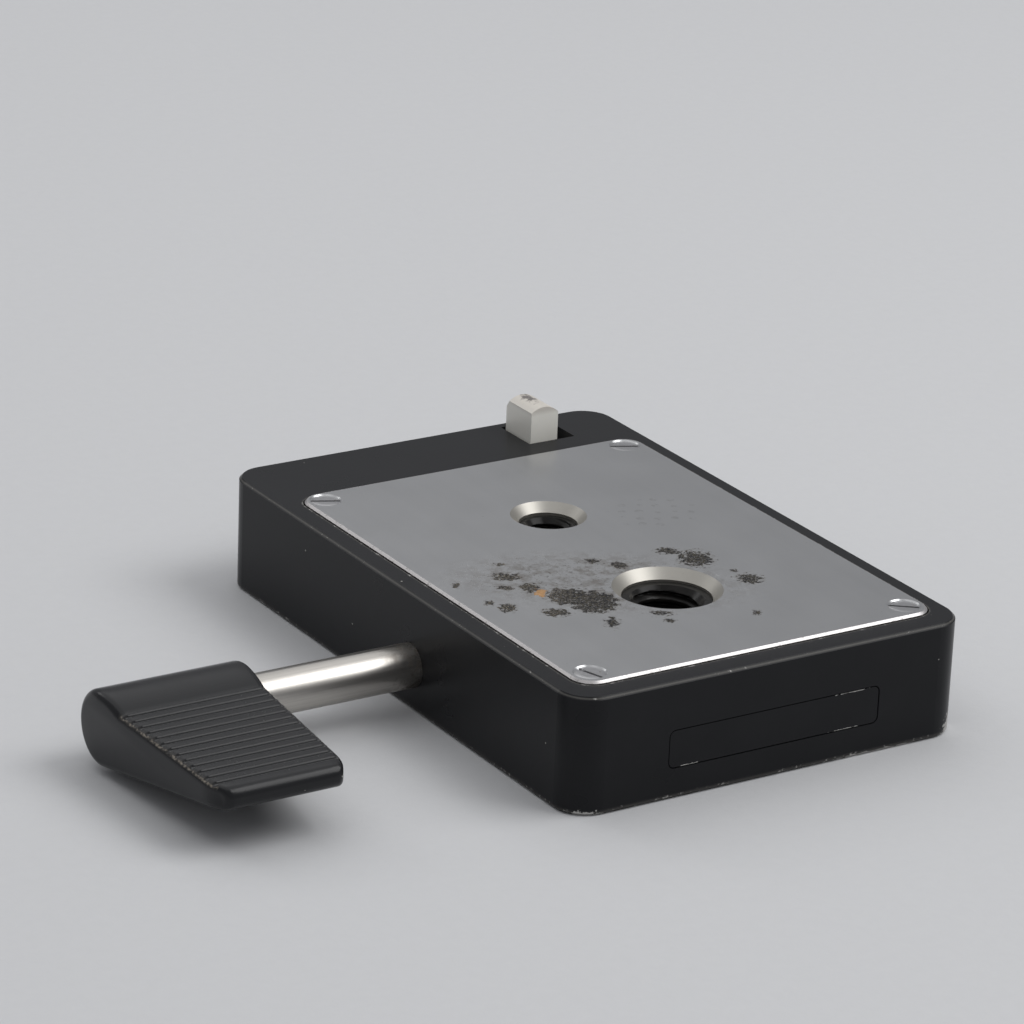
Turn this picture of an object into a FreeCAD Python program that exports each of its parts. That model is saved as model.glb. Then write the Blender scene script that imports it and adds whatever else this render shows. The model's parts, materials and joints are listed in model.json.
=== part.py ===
import FreeCAD, Part
import math
import os
import Sketcher
from FreeCAD import Placement, Rotation, Vector

# Quick release coupling for a tripod, lying on its camera side as photographed.
# Millimetres. The origin is the middle of the camera foot guide, in the plane of the camera side.
# X runs across the guide (the lever stands out of the -X side), Y runs along it (the foot leaves
# towards +Y) and Z points to the tripod side, where the two threaded sockets open.

doc = FreeCAD.newDocument("tripod_coupling")
sheet = doc.addObject("Spreadsheet::Sheet", "dims")

DRIVING_DIMENSIONS = (
    ("body_width", 60.0),
    ("body_length", 89.0),
    ("body_height", 16.0),
    ("body_corner_radius", 4.5),
    ("body_edge_bevel", 0.4),
    ("base_width", 54.2),
    ("base_length", 71.8),
    ("base_middle", -5.0),
    ("base_thickness", 1.6),
    ("base_pocket_depth", 1.2),
    ("base_corner_radius", 3.0),
    ("base_gap", 0.2),
    ("base_edge_bevel", 0.3),
    ("socket_line", 0.3),
    ("large_socket_place", -18.9),
    ("small_socket_place", 10.0),
    ("large_window_radius", 6.0),
    ("large_window_bevel", 1.3),
    ("small_window_radius", 4.0),
    ("small_window_bevel", 1.2),
    ("large_insert_radius", 7.0),
    ("large_thread_radius", 4.0),
    ("large_thread_mouth", 4.9),
    ("small_insert_radius", 5.0),
    ("small_thread_radius", 2.6),
    ("small_thread_mouth", 3.3),
    ("insert_length", 8.3),
    ("base_screw_line", 24.15),
    ("base_screw_middle", -4.8),
    ("base_screw_reach", 32.95),
    ("base_screw_head_radius", 2.2),
    ("base_screw_radius", 1.25),
    ("base_screw_length", 6.0),
    ("screw_slot_width", 0.6),
    ("screw_slot_depth", 0.5),
    ("groove_half_width", 22.75),
    ("groove_roof", 2.9),
    ("guide_stop", -38.5),
    ("guide_mouth_flare", 1.2),
    ("rail_thickness", 1.2),
    ("rail_inner_edge", 20.6),
    ("rail_outer_edge", 27.1),
    ("rail_end_gap", 0.3),
    ("rail_screw_line", 24.9),
    ("rail_screw_first", -31.0),
    ("rail_screw_pitch", 62.0),
    ("rail_screw_head_radius", 1.9),
    ("rail_screw_neck_radius", 0.7),
    ("shaft_place", -5.2),
    ("shaft_height", 6.1),
    ("shaft_radius", 3.0),
    ("shaft_bore_clearance", 0.05),
    ("cam_shaft_radius", 2.4),
    ("shaft_outer_end", -70.2),
    ("shaft_inner_end", 26.6),
    ("cam_zone_half", 19.7),
    ("cam_lift", 0.8),
    ("cam_angle", 90.0),
    ("cam_clearance", 0.02),
    ("stop_groove_place", -21.2),
    ("stop_groove_width", 1.8),
    ("stop_groove_depth", 0.9),
    ("stop_groove_angle", 132.0),
    ("stop_groove_lead", 21.0),
    ("stop_screw_radius", 1.5),
    ("stop_dog_radius", 0.8),
    ("friction_ring_place", -26.9),
    ("friction_ring_section", 0.48),
    ("clamp_plate_half_width", 19.2),
    ("clamp_plate_half_length", 19.6),
    ("clamp_plate_thickness", 1.1),
    ("clamp_plate_corner_radius", 2.5),
    ("clamp_recess_half_length", 20.0),
    ("clamp_recess_roof", 4.8),
    ("clamp_screw_across", 13.5),
    ("clamp_screw_along", 12.0),
    ("clamp_screw_radius", 1.25),
    ("clamp_screw_head_radius", 2.4),
    ("clamp_screw_head_thickness", 1.6),
    ("clamp_spring_floor", 7.0),
    ("clamp_spring_pocket_radius", 2.9),
    ("clamp_spring_length", 4.6),
    ("clamp_spring_radius", 2.1),
    ("clamp_spring_wire_radius", 0.25),
    ("clamp_spring_turns", 3.5),
    ("handle_middle", -64.8),
    ("handle_width", 21.5),
    ("handle_round_radius", 5.05),
    ("handle_band_radius", 14.2),
    ("handle_band_reach", 5.3),
    ("handle_nose_reach", 27.8),
    ("handle_nose_rise", 1.45),
    ("handle_nose_radius", 1.6),
    ("handle_end_taper", 1.8),
    ("handle_edge_bevel", 0.8),
    ("rib_groove_count", 13.0),
    ("rib_pitch", 1.713),
    ("rib_groove_width", 1.34),
    ("rib_groove_depth", 0.6),
    ("set_screw_radius", 1.5),
    ("set_screw_length", 1.9),
    ("set_screw_socket_radius", 0.75),
    ("label_middle", 0.15),
    ("label_height_middle", 6.8),
    ("label_width", 32.0),
    ("label_height", 5.0),
    ("label_thickness", 0.55),
    ("label_recess_depth", 0.6),
    ("label_gap", 0.15),
    ("label_corner_radius", 0.8),
    ("slot_left", 13.2),
    ("slot_right", 20.7),
    ("slot_near", 35.3),
    ("slot_far", 42.9),
    ("catch_pocket_left", 9.6),
    ("catch_pocket_right", 26.2),
    ("catch_pocket_roof", 10.6),
    ("catch_cover_left", 3.0),
    ("catch_cover_right", 20.2),
    ("catch_cover_thickness", 1.4),
    ("catch_bar_left", 10.0),
    ("catch_bar_right", 23.0),
    ("catch_bar_bottom", 4.45),
    ("catch_bar_top", 10.4),
    ("catch_side_clearance", 0.15),
    ("tab_left", 13.5),
    ("tab_right", 17.9),
    ("tab_near", 35.5),
    ("tab_far", 42.1),
    ("tab_shoulder", 20.25),
    ("tab_crown_rise", 0.85),
    ("tab_back_bevel", 0.7),
    ("nose_left", 20.7),
    ("nose_bottom", 1.35),
    ("nose_near", 36.2),
    ("nose_far", 41.9),
    ("nose_ramp_start", 37.6),
    ("catch_spring_seat", 14.0),
    ("catch_spring_height", 7.4),
    ("catch_spring_radius", 1.15),
    ("catch_spring_wire_radius", 0.2),
    ("catch_spring_turns", 7.5),
    ("catch_spring_bore_radius", 1.6),
    ("cover_screw_line", 6.2),
    ("cover_screw_reach", 1.9),
    ("cover_screw_head_radius", 1.6),
    ("cover_screw_neck_radius", 0.7),
)
for row, (alias, value) in enumerate(DRIVING_DIMENSIONS, start=1):
    sheet.set("A%d" % row, alias)
    sheet.set("B%d" % row, str(value))
    sheet.setAlias("B%d" % row, alias)
doc.recompute()

SUB_PARTS = []
GEOMETRY_SIDES = 4
COIL_RUNS_PER_TURN = 8
COIL_END_PLAY = 0.2


def size(alias):
    return float(sheet.get(alias))


def bind(thing, path, formula):
    thing.setExpression(path, formula)


def named(thing, label):
    thing.Label = label
    SUB_PARTS.append(thing)
    return thing


# Sketch helpers


def origin_plane(body, role):
    for feature in body.Origin.OriginFeatures:
        if feature.Role == role:
            return feature
    raise ValueError(role)


def sketch_on(body, name, role, across="0", up="0", out="0", turn=None):
    sketch = body.newObject("Sketcher::SketchObject", name)
    sketch.AttachmentSupport = [(origin_plane(body, role), "")]
    sketch.MapMode = "FlatFace"
    if turn is not None:
        sketch.AttachmentOffset = Placement(Vector(0, 0, 0), turn)
    bind(sketch, "AttachmentOffset.Base.x", across)
    bind(sketch, "AttachmentOffset.Base.y", up)
    bind(sketch, "AttachmentOffset.Base.z", out)
    return sketch


def constrain(sketch, formula, *parts, start=1.0):
    """A driven dimension. Its start value keeps a drawn outline from folding over."""
    index = sketch.addConstraint(Sketcher.Constraint(*parts, start))
    bind(sketch, "Constraints[%d]" % index, formula)


def rounded_rectangle(sketch, width, height, radius):
    """A rectangle with round corners about the sketch's origin. The sizes are formulas."""
    w, t, r = 20.0, 12.0, 2.0
    corners = ((1, -1, -90), (1, 1, 0), (-1, 1, 90), (-1, -1, 180))
    lines = (
        (Vector(r - w, -t, 0), Vector(w - r, -t, 0)),
        (Vector(w, r - t, 0), Vector(w, t - r, 0)),
        (Vector(w - r, t, 0), Vector(r - w, t, 0)),
        (Vector(-w, t - r, 0), Vector(-w, r - t, 0)),
    )
    for start, end in lines:
        sketch.addGeometry(Part.LineSegment(start, end))
    for x, y, start in corners:
        circle = Part.Circle(Vector(x * (w - r), y * (t - r), 0), Vector(0, 0, 1), r)
        sketch.addGeometry(Part.ArcOfCircle(circle, math.radians(start), math.radians(start + 90)))
    for side in range(GEOMETRY_SIDES):
        arc = GEOMETRY_SIDES + side
        following = (side + 1) % GEOMETRY_SIDES
        sketch.addConstraint(Sketcher.Constraint("Tangent", side, 2, arc, 1))
        sketch.addConstraint(Sketcher.Constraint("Tangent", arc, 2, following, 1))
    for side, kind in enumerate(("Horizontal", "Vertical", "Horizontal", "Vertical")):
        sketch.addConstraint(Sketcher.Constraint(kind, side))
    for arc in (5, 6, 7):
        sketch.addConstraint(Sketcher.Constraint("Equal", 4, arc))
    sketch.addConstraint(Sketcher.Constraint("Symmetric", 4, 3, 6, 3, -1, 1))
    constrain(sketch, radius, "Radius", 4)
    constrain(sketch, "%s - 2 * (%s)" % (width, radius), "DistanceX", 7, 3, 4, 3)
    constrain(sketch, "%s - 2 * (%s)" % (height, radius), "DistanceY", 4, 3, 5, 3)


def rectangle(sketch, width, height):
    """A plain rectangle about the sketch's origin."""
    points = (Vector(-9, -5, 0), Vector(9, -5, 0), Vector(9, 5, 0), Vector(-9, 5, 0))
    for side in range(GEOMETRY_SIDES):
        following = points[(side + 1) % GEOMETRY_SIDES]
        sketch.addGeometry(Part.LineSegment(points[side], following))
    for side in range(GEOMETRY_SIDES):
        following = (side + 1) % GEOMETRY_SIDES
        sketch.addConstraint(Sketcher.Constraint("Coincident", side, 2, following, 1))
    for side, kind in enumerate(("Horizontal", "Vertical", "Horizontal", "Vertical")):
        sketch.addConstraint(Sketcher.Constraint(kind, side))
    sketch.addConstraint(Sketcher.Constraint("Symmetric", 0, 1, 1, 2, -1, 1))
    constrain(sketch, width, "DistanceX", 0, 1, 0, 2)
    constrain(sketch, height, "DistanceY", 1, 1, 1, 2)


def circle_at(sketch, radius, x="0", y="0"):
    """A circle at x, y of the sketch. All three are formulas."""
    index = sketch.addGeometry(Part.Circle(Vector(1, 1, 0), Vector(0, 0, 1), 1.0))
    constrain(sketch, radius, "Radius", index)
    for kind, place in (("DistanceX", x), ("DistanceY", y)):
        constrain(sketch, place, kind, -1, 1, index, 3)


def closed_outline(sketch, points):
    """A closed outline of straight runs. Each point is a pair of formulas with a first guess."""
    first = len(sketch.Geometry)
    guesses = [Vector(g[0], g[1], 0) for _, _, g in points]
    count = len(points)
    for i in range(count):
        sketch.addGeometry(Part.LineSegment(guesses[i], guesses[(i + 1) % count]))
    for i in range(count):
        sketch.addConstraint(Sketcher.Constraint("Coincident", first + i, 2, first + (i + 1) % count, 1))
    for i, (x, y, _) in enumerate(points):
        constrain(sketch, x, "DistanceX", -1, 1, first + i, 1)
        constrain(sketch, y, "DistanceY", -1, 1, first + i, 1)


def pad(body, sketch, name, length, midplane=False, reverse=False):
    feature = body.newObject("PartDesign::Pad", name)
    feature.Profile = sketch
    bind(feature, "Length", length)
    if midplane:
        feature.Midplane = True
    feature.Reversed = reverse
    doc.recompute()
    return feature


def pocket(body, sketch, name, length, midplane=False):
    feature = body.newObject("PartDesign::Pocket", name)
    feature.Profile = sketch
    before = body.Shape.Volume
    bind(feature, "Length", length)
    if midplane:
        feature.Midplane = True
    doc.recompute()
    if not body.Shape.Volume < before - 1e-3:
        raise RuntimeError("%s cuts nothing" % name)
    return feature


def edges_where(shape, test):
    return ["Edge%d" % (i + 1) for i, edge in enumerate(shape.Edges) if test(edge)]


def spans(edge, axis):
    box = edge.BoundBox
    return {"x": (box.XMin, box.XMax), "y": (box.YMin, box.YMax), "z": (box.ZMin, box.ZMax)}[axis]


def dress(body, kind, name, test, amount):
    """A bevel or a round on the edges of the body's present shape that pass the test."""
    feature = body.newObject("PartDesign::%s" % kind, name)
    base = body.Tip if feature is not body.Tip else feature.BaseFeature
    feature.Base = (base, edges_where(base.Shape, test))
    bind(feature, "Size" if kind == "Chamfer" else "Radius", amount)
    doc.recompute()
    return feature


def new_body(label):
    return named(doc.addObject("PartDesign::Body", label), label)


# Part primitives that make the screws


def cylinder(name, radius, length, x, y, z, direction=None):
    thing = doc.addObject("Part::Cylinder", name)
    if direction is not None:
        thing.Placement = Placement(Vector(0, 0, 0), direction)
    bind(thing, "Radius", radius)
    bind(thing, "Height", length)
    for letter, formula in zip("xyz", (x, y, z)):
        bind(thing, "Placement.Base.%s" % letter, formula)
    return thing


def cone(name, bottom_radius, top_radius, length, x, y, z):
    thing = doc.addObject("Part::Cone", name)
    bind(thing, "Radius1", bottom_radius)
    bind(thing, "Radius2", top_radius)
    bind(thing, "Height", length)
    for letter, formula in zip("xyz", (x, y, z)):
        bind(thing, "Placement.Base.%s" % letter, formula)
    return thing


def slot_bar(name, length, width, depth, x, y, z, turn):
    """A bar whose middle is at x, y and whose bottom is at z, turned about Z by so many degrees."""
    bar = doc.addObject("Part::Box", name)
    bind(bar, "Length", length)
    bind(bar, "Width", width)
    bind(bar, "Height", depth)
    c, s = math.cos(math.radians(turn)), math.sin(math.radians(turn))
    bar.Placement = Placement(Vector(0, 0, 0), Rotation(Vector(0, 0, 1), turn))
    middle_x = "(%s) * %.6f - (%s) * %.6f" % (length, c / 2, width, s / 2)
    middle_y = "(%s) * %.6f + (%s) * %.6f" % (length, s / 2, width, c / 2)
    bind(bar, "Placement.Base.x", "%s - (%s)" % (x, middle_x))
    bind(bar, "Placement.Base.y", "%s - (%s)" % (y, middle_y))
    bind(bar, "Placement.Base.z", z)
    return bar


def fuse(name, things):
    joined = doc.addObject("Part::MultiFuse", name)
    joined.Shapes = things
    return joined


def cut(name, base, tool):
    left = doc.addObject("Part::Cut", name)
    left.Base = base
    left.Tool = tool
    return left


def group(label, things):
    gathered = doc.addObject("Part::Compound", label)
    gathered.Links = things
    return named(gathered, label)


def flat_head_screw(name, x, y, face, head_radius, radius, length, turn):
    """A slotted flat-head screw that points down from the plane z = face."""
    depth = "(%s - %s)" % (head_radius, radius)
    head = cone(name + "_head", radius, head_radius, depth, x, y, "%s - %s" % (face, depth))
    shank = cylinder(name + "_shank", radius, length, x, y, "%s - (%s)" % (face, length))
    slot_length = "2.4 * (%s)" % head_radius
    slot_z = "%s - dims.screw_slot_depth" % face
    slot = slot_bar(
        name + "_slot", slot_length, "dims.screw_slot_width", "2 * dims.screw_slot_depth", x, y, slot_z, turn
    )
    return cut(name, fuse(name + "_blank", [head, shank]), slot)


def sunk_screw(name, x, y, face, head_radius, neck_radius, thickness):
    """The countersunk screw of a thin part, as far as the part's back. Its thread isn't modelled."""
    return cone(name, head_radius, neck_radius, thickness, x, y, face)


def countersink(body, name, x, y, face, head_radius, neck_radius, thickness):
    """A cone sunk through a thin part from its face on the camera side."""
    section = sketch_on(body, name + "_section", "XZ_Plane", x, face, "-(%s)" % y)
    closed_outline(
        section,
        (
            ("0", "0", (0, 0)),
            (head_radius, "0", (1.9, 0)),
            (neck_radius, thickness, (0.7, 1.2)),
            ("0", thickness, (0, 1.2)),
        ),
    )
    sink = body.newObject("PartDesign::Groove", name)
    sink.Profile = section
    sink.ReferenceAxis = (section, ["V_Axis"])
    sink.Angle = 360.0
    doc.recompute()


def coil_spring(name, radius, wire, turns, length):
    """A coil about Z of square wire, bent in short straight runs, standing on z = 0."""
    runs = int(round(turns * COIL_RUNS_PER_TURN))
    rise = length - 2 * wire - COIL_END_PLAY
    points = []
    for i in range(runs + 1):
        angle = 2 * math.pi * i / COIL_RUNS_PER_TURN
        height = wire + COIL_END_PLAY / 2 + rise * i / runs
        points.append(Vector(radius * math.cos(angle), radius * math.sin(angle), height))
    along = (points[1] - points[0]).normalize()
    over = along.cross(Vector(1, 0, 0)).normalize()
    out = over.cross(along)
    corners = [points[0] + (out * a + over * b) * wire for a, b in ((1, 1), (-1, 1), (-1, -1), (1, -1))]
    section = Part.Wire(Part.makePolygon(corners + [corners[0]]))
    right_corners = 1
    coil = doc.addObject("Part::Feature", name)
    coil.Shape = Part.Wire(Part.makePolygon(points)).makePipeShell([section], True, False, right_corners)
    return coil


# Driving values that several pieces share, as formulas

BASE_FLOOR = "(dims.body_height - dims.base_pocket_depth)"
BASE_FACE = "(dims.body_height - dims.base_pocket_depth + dims.base_thickness)"
CAM_RATE = "(dims.cam_lift / (dims.cam_angle * pi / 180))"
CAM_REACH = "sqrt(dims.cam_shaft_radius ^ 2 - %s ^ 2)" % CAM_RATE
CLAMP_TOP = "(dims.shaft_height - %s - dims.cam_clearance)" % CAM_REACH
CLAMP_BOTTOM = "(%s - dims.clamp_plate_thickness)" % CLAMP_TOP
GUIDE_LENGTH = "(dims.body_length / 2 - dims.guide_stop)"
GUIDE_MIDDLE = "((dims.body_length / 2 + dims.guide_stop) / 2)"
SLOT_MIDDLE = "((dims.slot_near + dims.slot_far) / 2)"
CATCH_LENGTH = "(dims.slot_far - dims.slot_near)"
CLAMP_SCREWS = ((-1, -1), (1, 1))
RAIL_SCREW_COUNT = 2
RAIL_SCREW = ("dims.rail_screw_head_radius", "dims.rail_screw_neck_radius", "dims.rail_thickness")
COVER_SCREW = ("dims.cover_screw_head_radius", "dims.cover_screw_neck_radius", "dims.catch_cover_thickness")


def clamp_screw_place(across, along):
    return (
        "dims.clamp_screw_across * %d" % across,
        "dims.shaft_place + dims.clamp_screw_along * %d" % along,
    )


def base_screw_place(across, along):
    return (
        "dims.socket_line + dims.base_screw_line * %d" % across,
        "dims.base_screw_middle + dims.base_screw_reach * %d" % along,
    )


def rail_screw_place(side, number):
    return (
        "dims.rail_screw_line * %d" % side,
        "dims.rail_screw_first + dims.rail_screw_pitch * %d" % number,
    )


def cover_screw_place(along):
    return ("dims.cover_screw_line", "%s + dims.cover_screw_reach * %d" % (SLOT_MIDDLE, along))


# The block: one milled piece with the plate's pocket on top and the guide below


def make_body_block():
    body = new_body("body_block")
    outline = sketch_on(body, "block_outline", "XY_Plane")
    rounded_rectangle(outline, "dims.body_width", "dims.body_length", "dims.body_corner_radius")
    pad(body, outline, "block", "dims.body_height")
    height = size("body_height")

    def on_rim(edge):
        low, high = spans(edge, "z")
        return high - low < 1e-6 and (abs(low) < 1e-6 or abs(low - height) < 1e-6)

    dress(body, "Chamfer", "outer_edges", on_rim, "dims.body_edge_bevel")

    seat = sketch_on(body, "base_seat_outline", "XY_Plane", "dims.socket_line", "dims.base_middle", "dims.body_height")
    rounded_rectangle(
        seat,
        "dims.base_width + 2 * dims.base_gap",
        "dims.base_length + 2 * dims.base_gap",
        "dims.base_corner_radius + dims.base_gap",
    )
    pocket(body, seat, "base_seat", "dims.base_pocket_depth")

    # The foot's groove, then the wider and shallower seats of the two rails
    groove = sketch_on(body, "foot_groove_outline", "XY_Plane", "0", GUIDE_MIDDLE + " + 1", "dims.groove_roof")
    rectangle(groove, "2 * dims.groove_half_width", "%s + 2" % GUIDE_LENGTH)
    pocket(body, groove, "foot_groove", "dims.groove_roof + 1")
    rails = sketch_on(body, "rail_seat_outline", "XY_Plane", "0", GUIDE_MIDDLE + " + 1", "dims.rail_thickness")
    rectangle(rails, "2 * (dims.rail_outer_edge + 0.1)", "%s + 2" % GUIDE_LENGTH)
    pocket(body, rails, "rail_seats", "dims.rail_thickness + 1")

    recess = sketch_on(body, "clamp_recess_outline", "XY_Plane", "0", "dims.shaft_place", "dims.clamp_recess_roof")
    rounded_rectangle(
        recess,
        "2 * dims.groove_half_width",
        "2 * dims.clamp_recess_half_length",
        "dims.clamp_plate_corner_radius + 0.4",
    )
    pocket(body, recess, "clamp_recess", "dims.clamp_recess_roof")

    sockets = sketch_on(body, "insert_seat_outline", "XY_Plane", "dims.socket_line", "0", BASE_FLOOR)
    circle_at(sockets, "dims.large_insert_radius", "0", "dims.large_socket_place")
    circle_at(sockets, "dims.small_insert_radius", "0", "dims.small_socket_place")
    pocket(body, sockets, "insert_seats", "dims.insert_length + 0.1")

    springs = sketch_on(body, "spring_pocket_outline", "XY_Plane", "0", "0", BASE_FLOOR)
    shanks = sketch_on(body, "clamp_screw_hole_outline", "XY_Plane", "0", "0", "dims.clamp_spring_floor")
    for across, along in CLAMP_SCREWS:
        x, y = clamp_screw_place(across, along)
        circle_at(springs, "dims.clamp_spring_pocket_radius", x, y)
        circle_at(shanks, "dims.clamp_screw_radius + 0.2", x, y)
    pocket(body, springs, "spring_pockets", "%s - dims.clamp_spring_floor" % BASE_FLOOR)
    pocket(body, shanks, "clamp_screw_holes", "dims.clamp_spring_floor - dims.clamp_recess_roof + 1")

    # The shaft's bore: wide up to the groove's right wall, then a blind bearing
    wide = sketch_on(
        body, "shaft_bore_outline", "YZ_Plane", "dims.shaft_place", "dims.shaft_height", "dims.groove_half_width"
    )
    circle_at(wide, "dims.shaft_radius + dims.shaft_bore_clearance")
    pocket(body, wide, "shaft_bore", "dims.groove_half_width + dims.body_width / 2 + 1")
    blind = sketch_on(
        body, "shaft_bearing_outline", "YZ_Plane", "dims.shaft_place", "dims.shaft_height", "dims.shaft_inner_end + 0.2"
    )
    circle_at(blind, "dims.cam_shaft_radius + dims.shaft_bore_clearance")
    pocket(body, blind, "shaft_bearing", "dims.shaft_inner_end - dims.groove_half_width + 1")

    stop = sketch_on(body, "stop_screw_hole_outline", "XY_Plane", "dims.stop_groove_place", "dims.shaft_place", BASE_FLOOR)
    circle_at(stop, "dims.stop_screw_radius")
    pocket(body, stop, "stop_screw_hole", "%s - dims.shaft_height" % BASE_FLOOR)

    taps = sketch_on(body, "base_screw_hole_outline", "XY_Plane", "0", "0", BASE_FLOOR)
    for across in (-1, 1):
        for along in (-1, 1):
            circle_at(taps, "dims.base_screw_radius", *base_screw_place(across, along))
    pocket(body, taps, "base_screw_holes", "dims.base_screw_length - dims.base_thickness + 0.5")

    # The catch: its sliding pocket, the nose's way through the groove wall, its cover's seat and the tab's slot
    slide = sketch_on(
        body,
        "catch_pocket_outline",
        "XY_Plane",
        "(dims.catch_pocket_left + dims.catch_pocket_right) / 2",
        SLOT_MIDDLE,
        "dims.catch_pocket_roof",
    )
    rectangle(slide, "dims.catch_pocket_right - dims.catch_pocket_left", CATCH_LENGTH)
    pocket(body, slide, "catch_pocket", "dims.catch_pocket_roof - dims.rail_thickness")
    cover = sketch_on(
        body,
        "cover_seat_outline",
        "XY_Plane",
        "(dims.catch_cover_left - 0.1 + dims.catch_pocket_left) / 2",
        SLOT_MIDDLE,
        "dims.groove_roof + dims.catch_cover_thickness",
    )
    rectangle(cover, "dims.catch_pocket_left - dims.catch_cover_left + 0.3", CATCH_LENGTH)
    pocket(body, cover, "cover_seat", "dims.catch_cover_thickness")
    slot = sketch_on(
        body, "tab_slot_outline", "XY_Plane", "(dims.slot_left + dims.slot_right) / 2", SLOT_MIDDLE, "dims.body_height"
    )
    rectangle(slot, "dims.slot_right - dims.slot_left", CATCH_LENGTH)
    pocket(body, slot, "tab_slot", "dims.body_height - dims.catch_pocket_roof + 0.5")

    label = sketch_on(
        body, "label_seat_outline", "XZ_Plane", "dims.label_middle", "dims.label_height_middle", "dims.body_length / 2"
    )
    rounded_rectangle(
        label,
        "dims.label_width + 2 * dims.label_gap",
        "dims.label_height + 2 * dims.label_gap",
        "dims.label_corner_radius + dims.label_gap",
    )
    pocket(body, label, "label_seat", "dims.label_recess_depth")
    return body


# The stainless plate on the tripod side, with its two bevelled windows and four screws


def make_base_plate():
    body = new_body("base_plate")
    outline = sketch_on(body, "base_outline", "XY_Plane", "dims.socket_line", "dims.base_middle", BASE_FLOOR)
    rounded_rectangle(outline, "dims.base_width", "dims.base_length", "dims.base_corner_radius")
    pad(body, outline, "base", "dims.base_thickness")
    top = size("body_height") - size("base_pocket_depth") + size("base_thickness")
    dress(body, "Chamfer", "base_edge", lambda e: min(spans(e, "z")) > top - 1e-6, "dims.base_edge_bevel")
    for window in ("large", "small"):
        hole = sketch_on(body, window + "_window_outline", "XY_Plane", "dims.socket_line", "0", BASE_FACE)
        circle_at(hole, "dims.%s_window_radius" % window, "0", "dims.%s_socket_place" % window)
        pocket(body, hole, window + "_window", "dims.base_thickness")
        middle = size(window + "_socket_place")
        radius = size(window + "_window_radius")

        def rim(edge):
            low, high = spans(edge, "y")
            flat = min(spans(edge, "z")) > top - 1e-6
            return flat and abs(low - middle + radius) < 1e-3 and abs(high - middle - radius) < 1e-3

        dress(body, "Chamfer", window + "_window_edge", rim, "dims.%s_window_bevel" % window)

    # Each screw's countersink is a cone turned about the screw's own line
    for across in (-1, 1):
        for along in (-1, 1):
            x, y = base_screw_place(across, along)
            name = "countersink_%s_%s" % ("ab"[across > 0], "ab"[along > 0])
            section = sketch_on(body, name + "_section", "XZ_Plane", x, BASE_FACE, "-(%s)" % y)
            head, shank = "dims.base_screw_head_radius", "dims.base_screw_radius"
            closed_outline(
                section,
                (
                    ("0", "0", (0, 0)),
                    (head, "0", (2.2, 0)),
                    (shank, "-(%s - %s)" % (head, shank), (1.25, -0.95)),
                    (shank, "-dims.base_thickness - 0.1", (1.25, -1.7)),
                    ("0", "-dims.base_thickness - 0.1", (0, -1.7)),
                ),
            )
            sink = body.newObject("PartDesign::Groove", name)
            sink.Profile = section
            sink.ReferenceAxis = (section, ["V_Axis"])
            sink.Angle = 360.0
            doc.recompute()
    return body


def make_base_plate_screws():
    turns = (14.0, 62.0, 38.0, 75.0)
    screws = []
    for number, (across, along) in enumerate(((-1, -1), (-1, 1), (1, -1), (1, 1))):
        x, y = base_screw_place(across, along)
        screws.append(
            flat_head_screw(
                "base_screw_%d" % number,
                x,
                y,
                BASE_FACE,
                "dims.base_screw_head_radius",
                "dims.base_screw_radius",
                "dims.base_screw_length",
                turns[number],
            )
        )
    return group("base_plate_screws", screws)


# The two threaded steel inserts under the plate. The fine thread is left to the finish.


def make_insert(window, label):
    body = new_body(label)
    section = sketch_on(
        body,
        window + "_insert_section",
        "XZ_Plane",
        "dims.socket_line",
        BASE_FLOOR,
        "-dims.%s_socket_place" % window,
    )
    outer, wall, mouth = (
        "dims.%s_insert_radius" % window,
        "dims.%s_thread_radius" % window,
        "dims.%s_thread_mouth" % window,
    )
    closed_outline(
        section,
        (
            (wall, "-dims.insert_length", (3, -8)),
            (outer, "-dims.insert_length", (6, -8)),
            (outer, "0", (6, 0)),
            (mouth, "0", (4, 0)),
            (wall, "-(%s - %s)" % (mouth, wall), (3, -1)),
        ),
    )
    turned = body.newObject("PartDesign::Revolution", window + "_insert_turned")
    turned.Profile = section
    turned.ReferenceAxis = (section, ["V_Axis"])
    turned.Angle = 360.0
    doc.recompute()
    return body


def make_label_plate():
    body = new_body("label_plate")
    outline = sketch_on(
        body,
        "label_outline",
        "XZ_Plane",
        "dims.label_middle",
        "dims.label_height_middle",
        "dims.body_length / 2 - dims.label_recess_depth",
    )
    rounded_rectangle(outline, "dims.label_width", "dims.label_height", "dims.label_corner_radius")
    pad(body, outline, "label", "dims.label_thickness")
    return body


# The two steel rails that hold the foot's flanges


def make_guide_rail(side, label):
    body = new_body(label)
    sign = "1" if side > 0 else "-1"
    far = "dims.body_length / 2 - dims.rail_end_gap"
    near = "dims.guide_stop + 0.1"
    outline = sketch_on(body, label + "_outline", "XY_Plane")
    inner, outer, flare = "dims.rail_inner_edge * %s" % sign, "dims.rail_outer_edge * %s" % sign, "dims.guide_mouth_flare"
    closed_outline(
        outline,
        (
            (inner, near, (20 * side, -38)),
            (outer, near, (27 * side, -38)),
            (outer, far, (27 * side, 44)),
            ("%s + %s * %s" % (inner, flare, sign), far, (22 * side, 44)),
            (inner, "%s - 2 * %s" % (far, flare), (20 * side, 42)),
        ),
    )
    pad(body, outline, label + "_strip", "dims.rail_thickness")
    for number in range(RAIL_SCREW_COUNT):
        x, y = rail_screw_place(side, number)
        countersink(body, "%s_sink_%d" % (label, number), x, y, "0", *RAIL_SCREW)
    return body


def make_guide_rail_screws():
    screws = []
    for side in (-1, 1):
        for number in range(RAIL_SCREW_COUNT):
            x, y = rail_screw_place(side, number)
            screws.append(sunk_screw("rail_screw_%s%d" % ("ab"[side > 0], number), x, y, "0", *RAIL_SCREW))
    return group("guide_rail_screws", screws)


# The lever: a turned shaft with a spiral cam, and the ribbed handle


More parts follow.
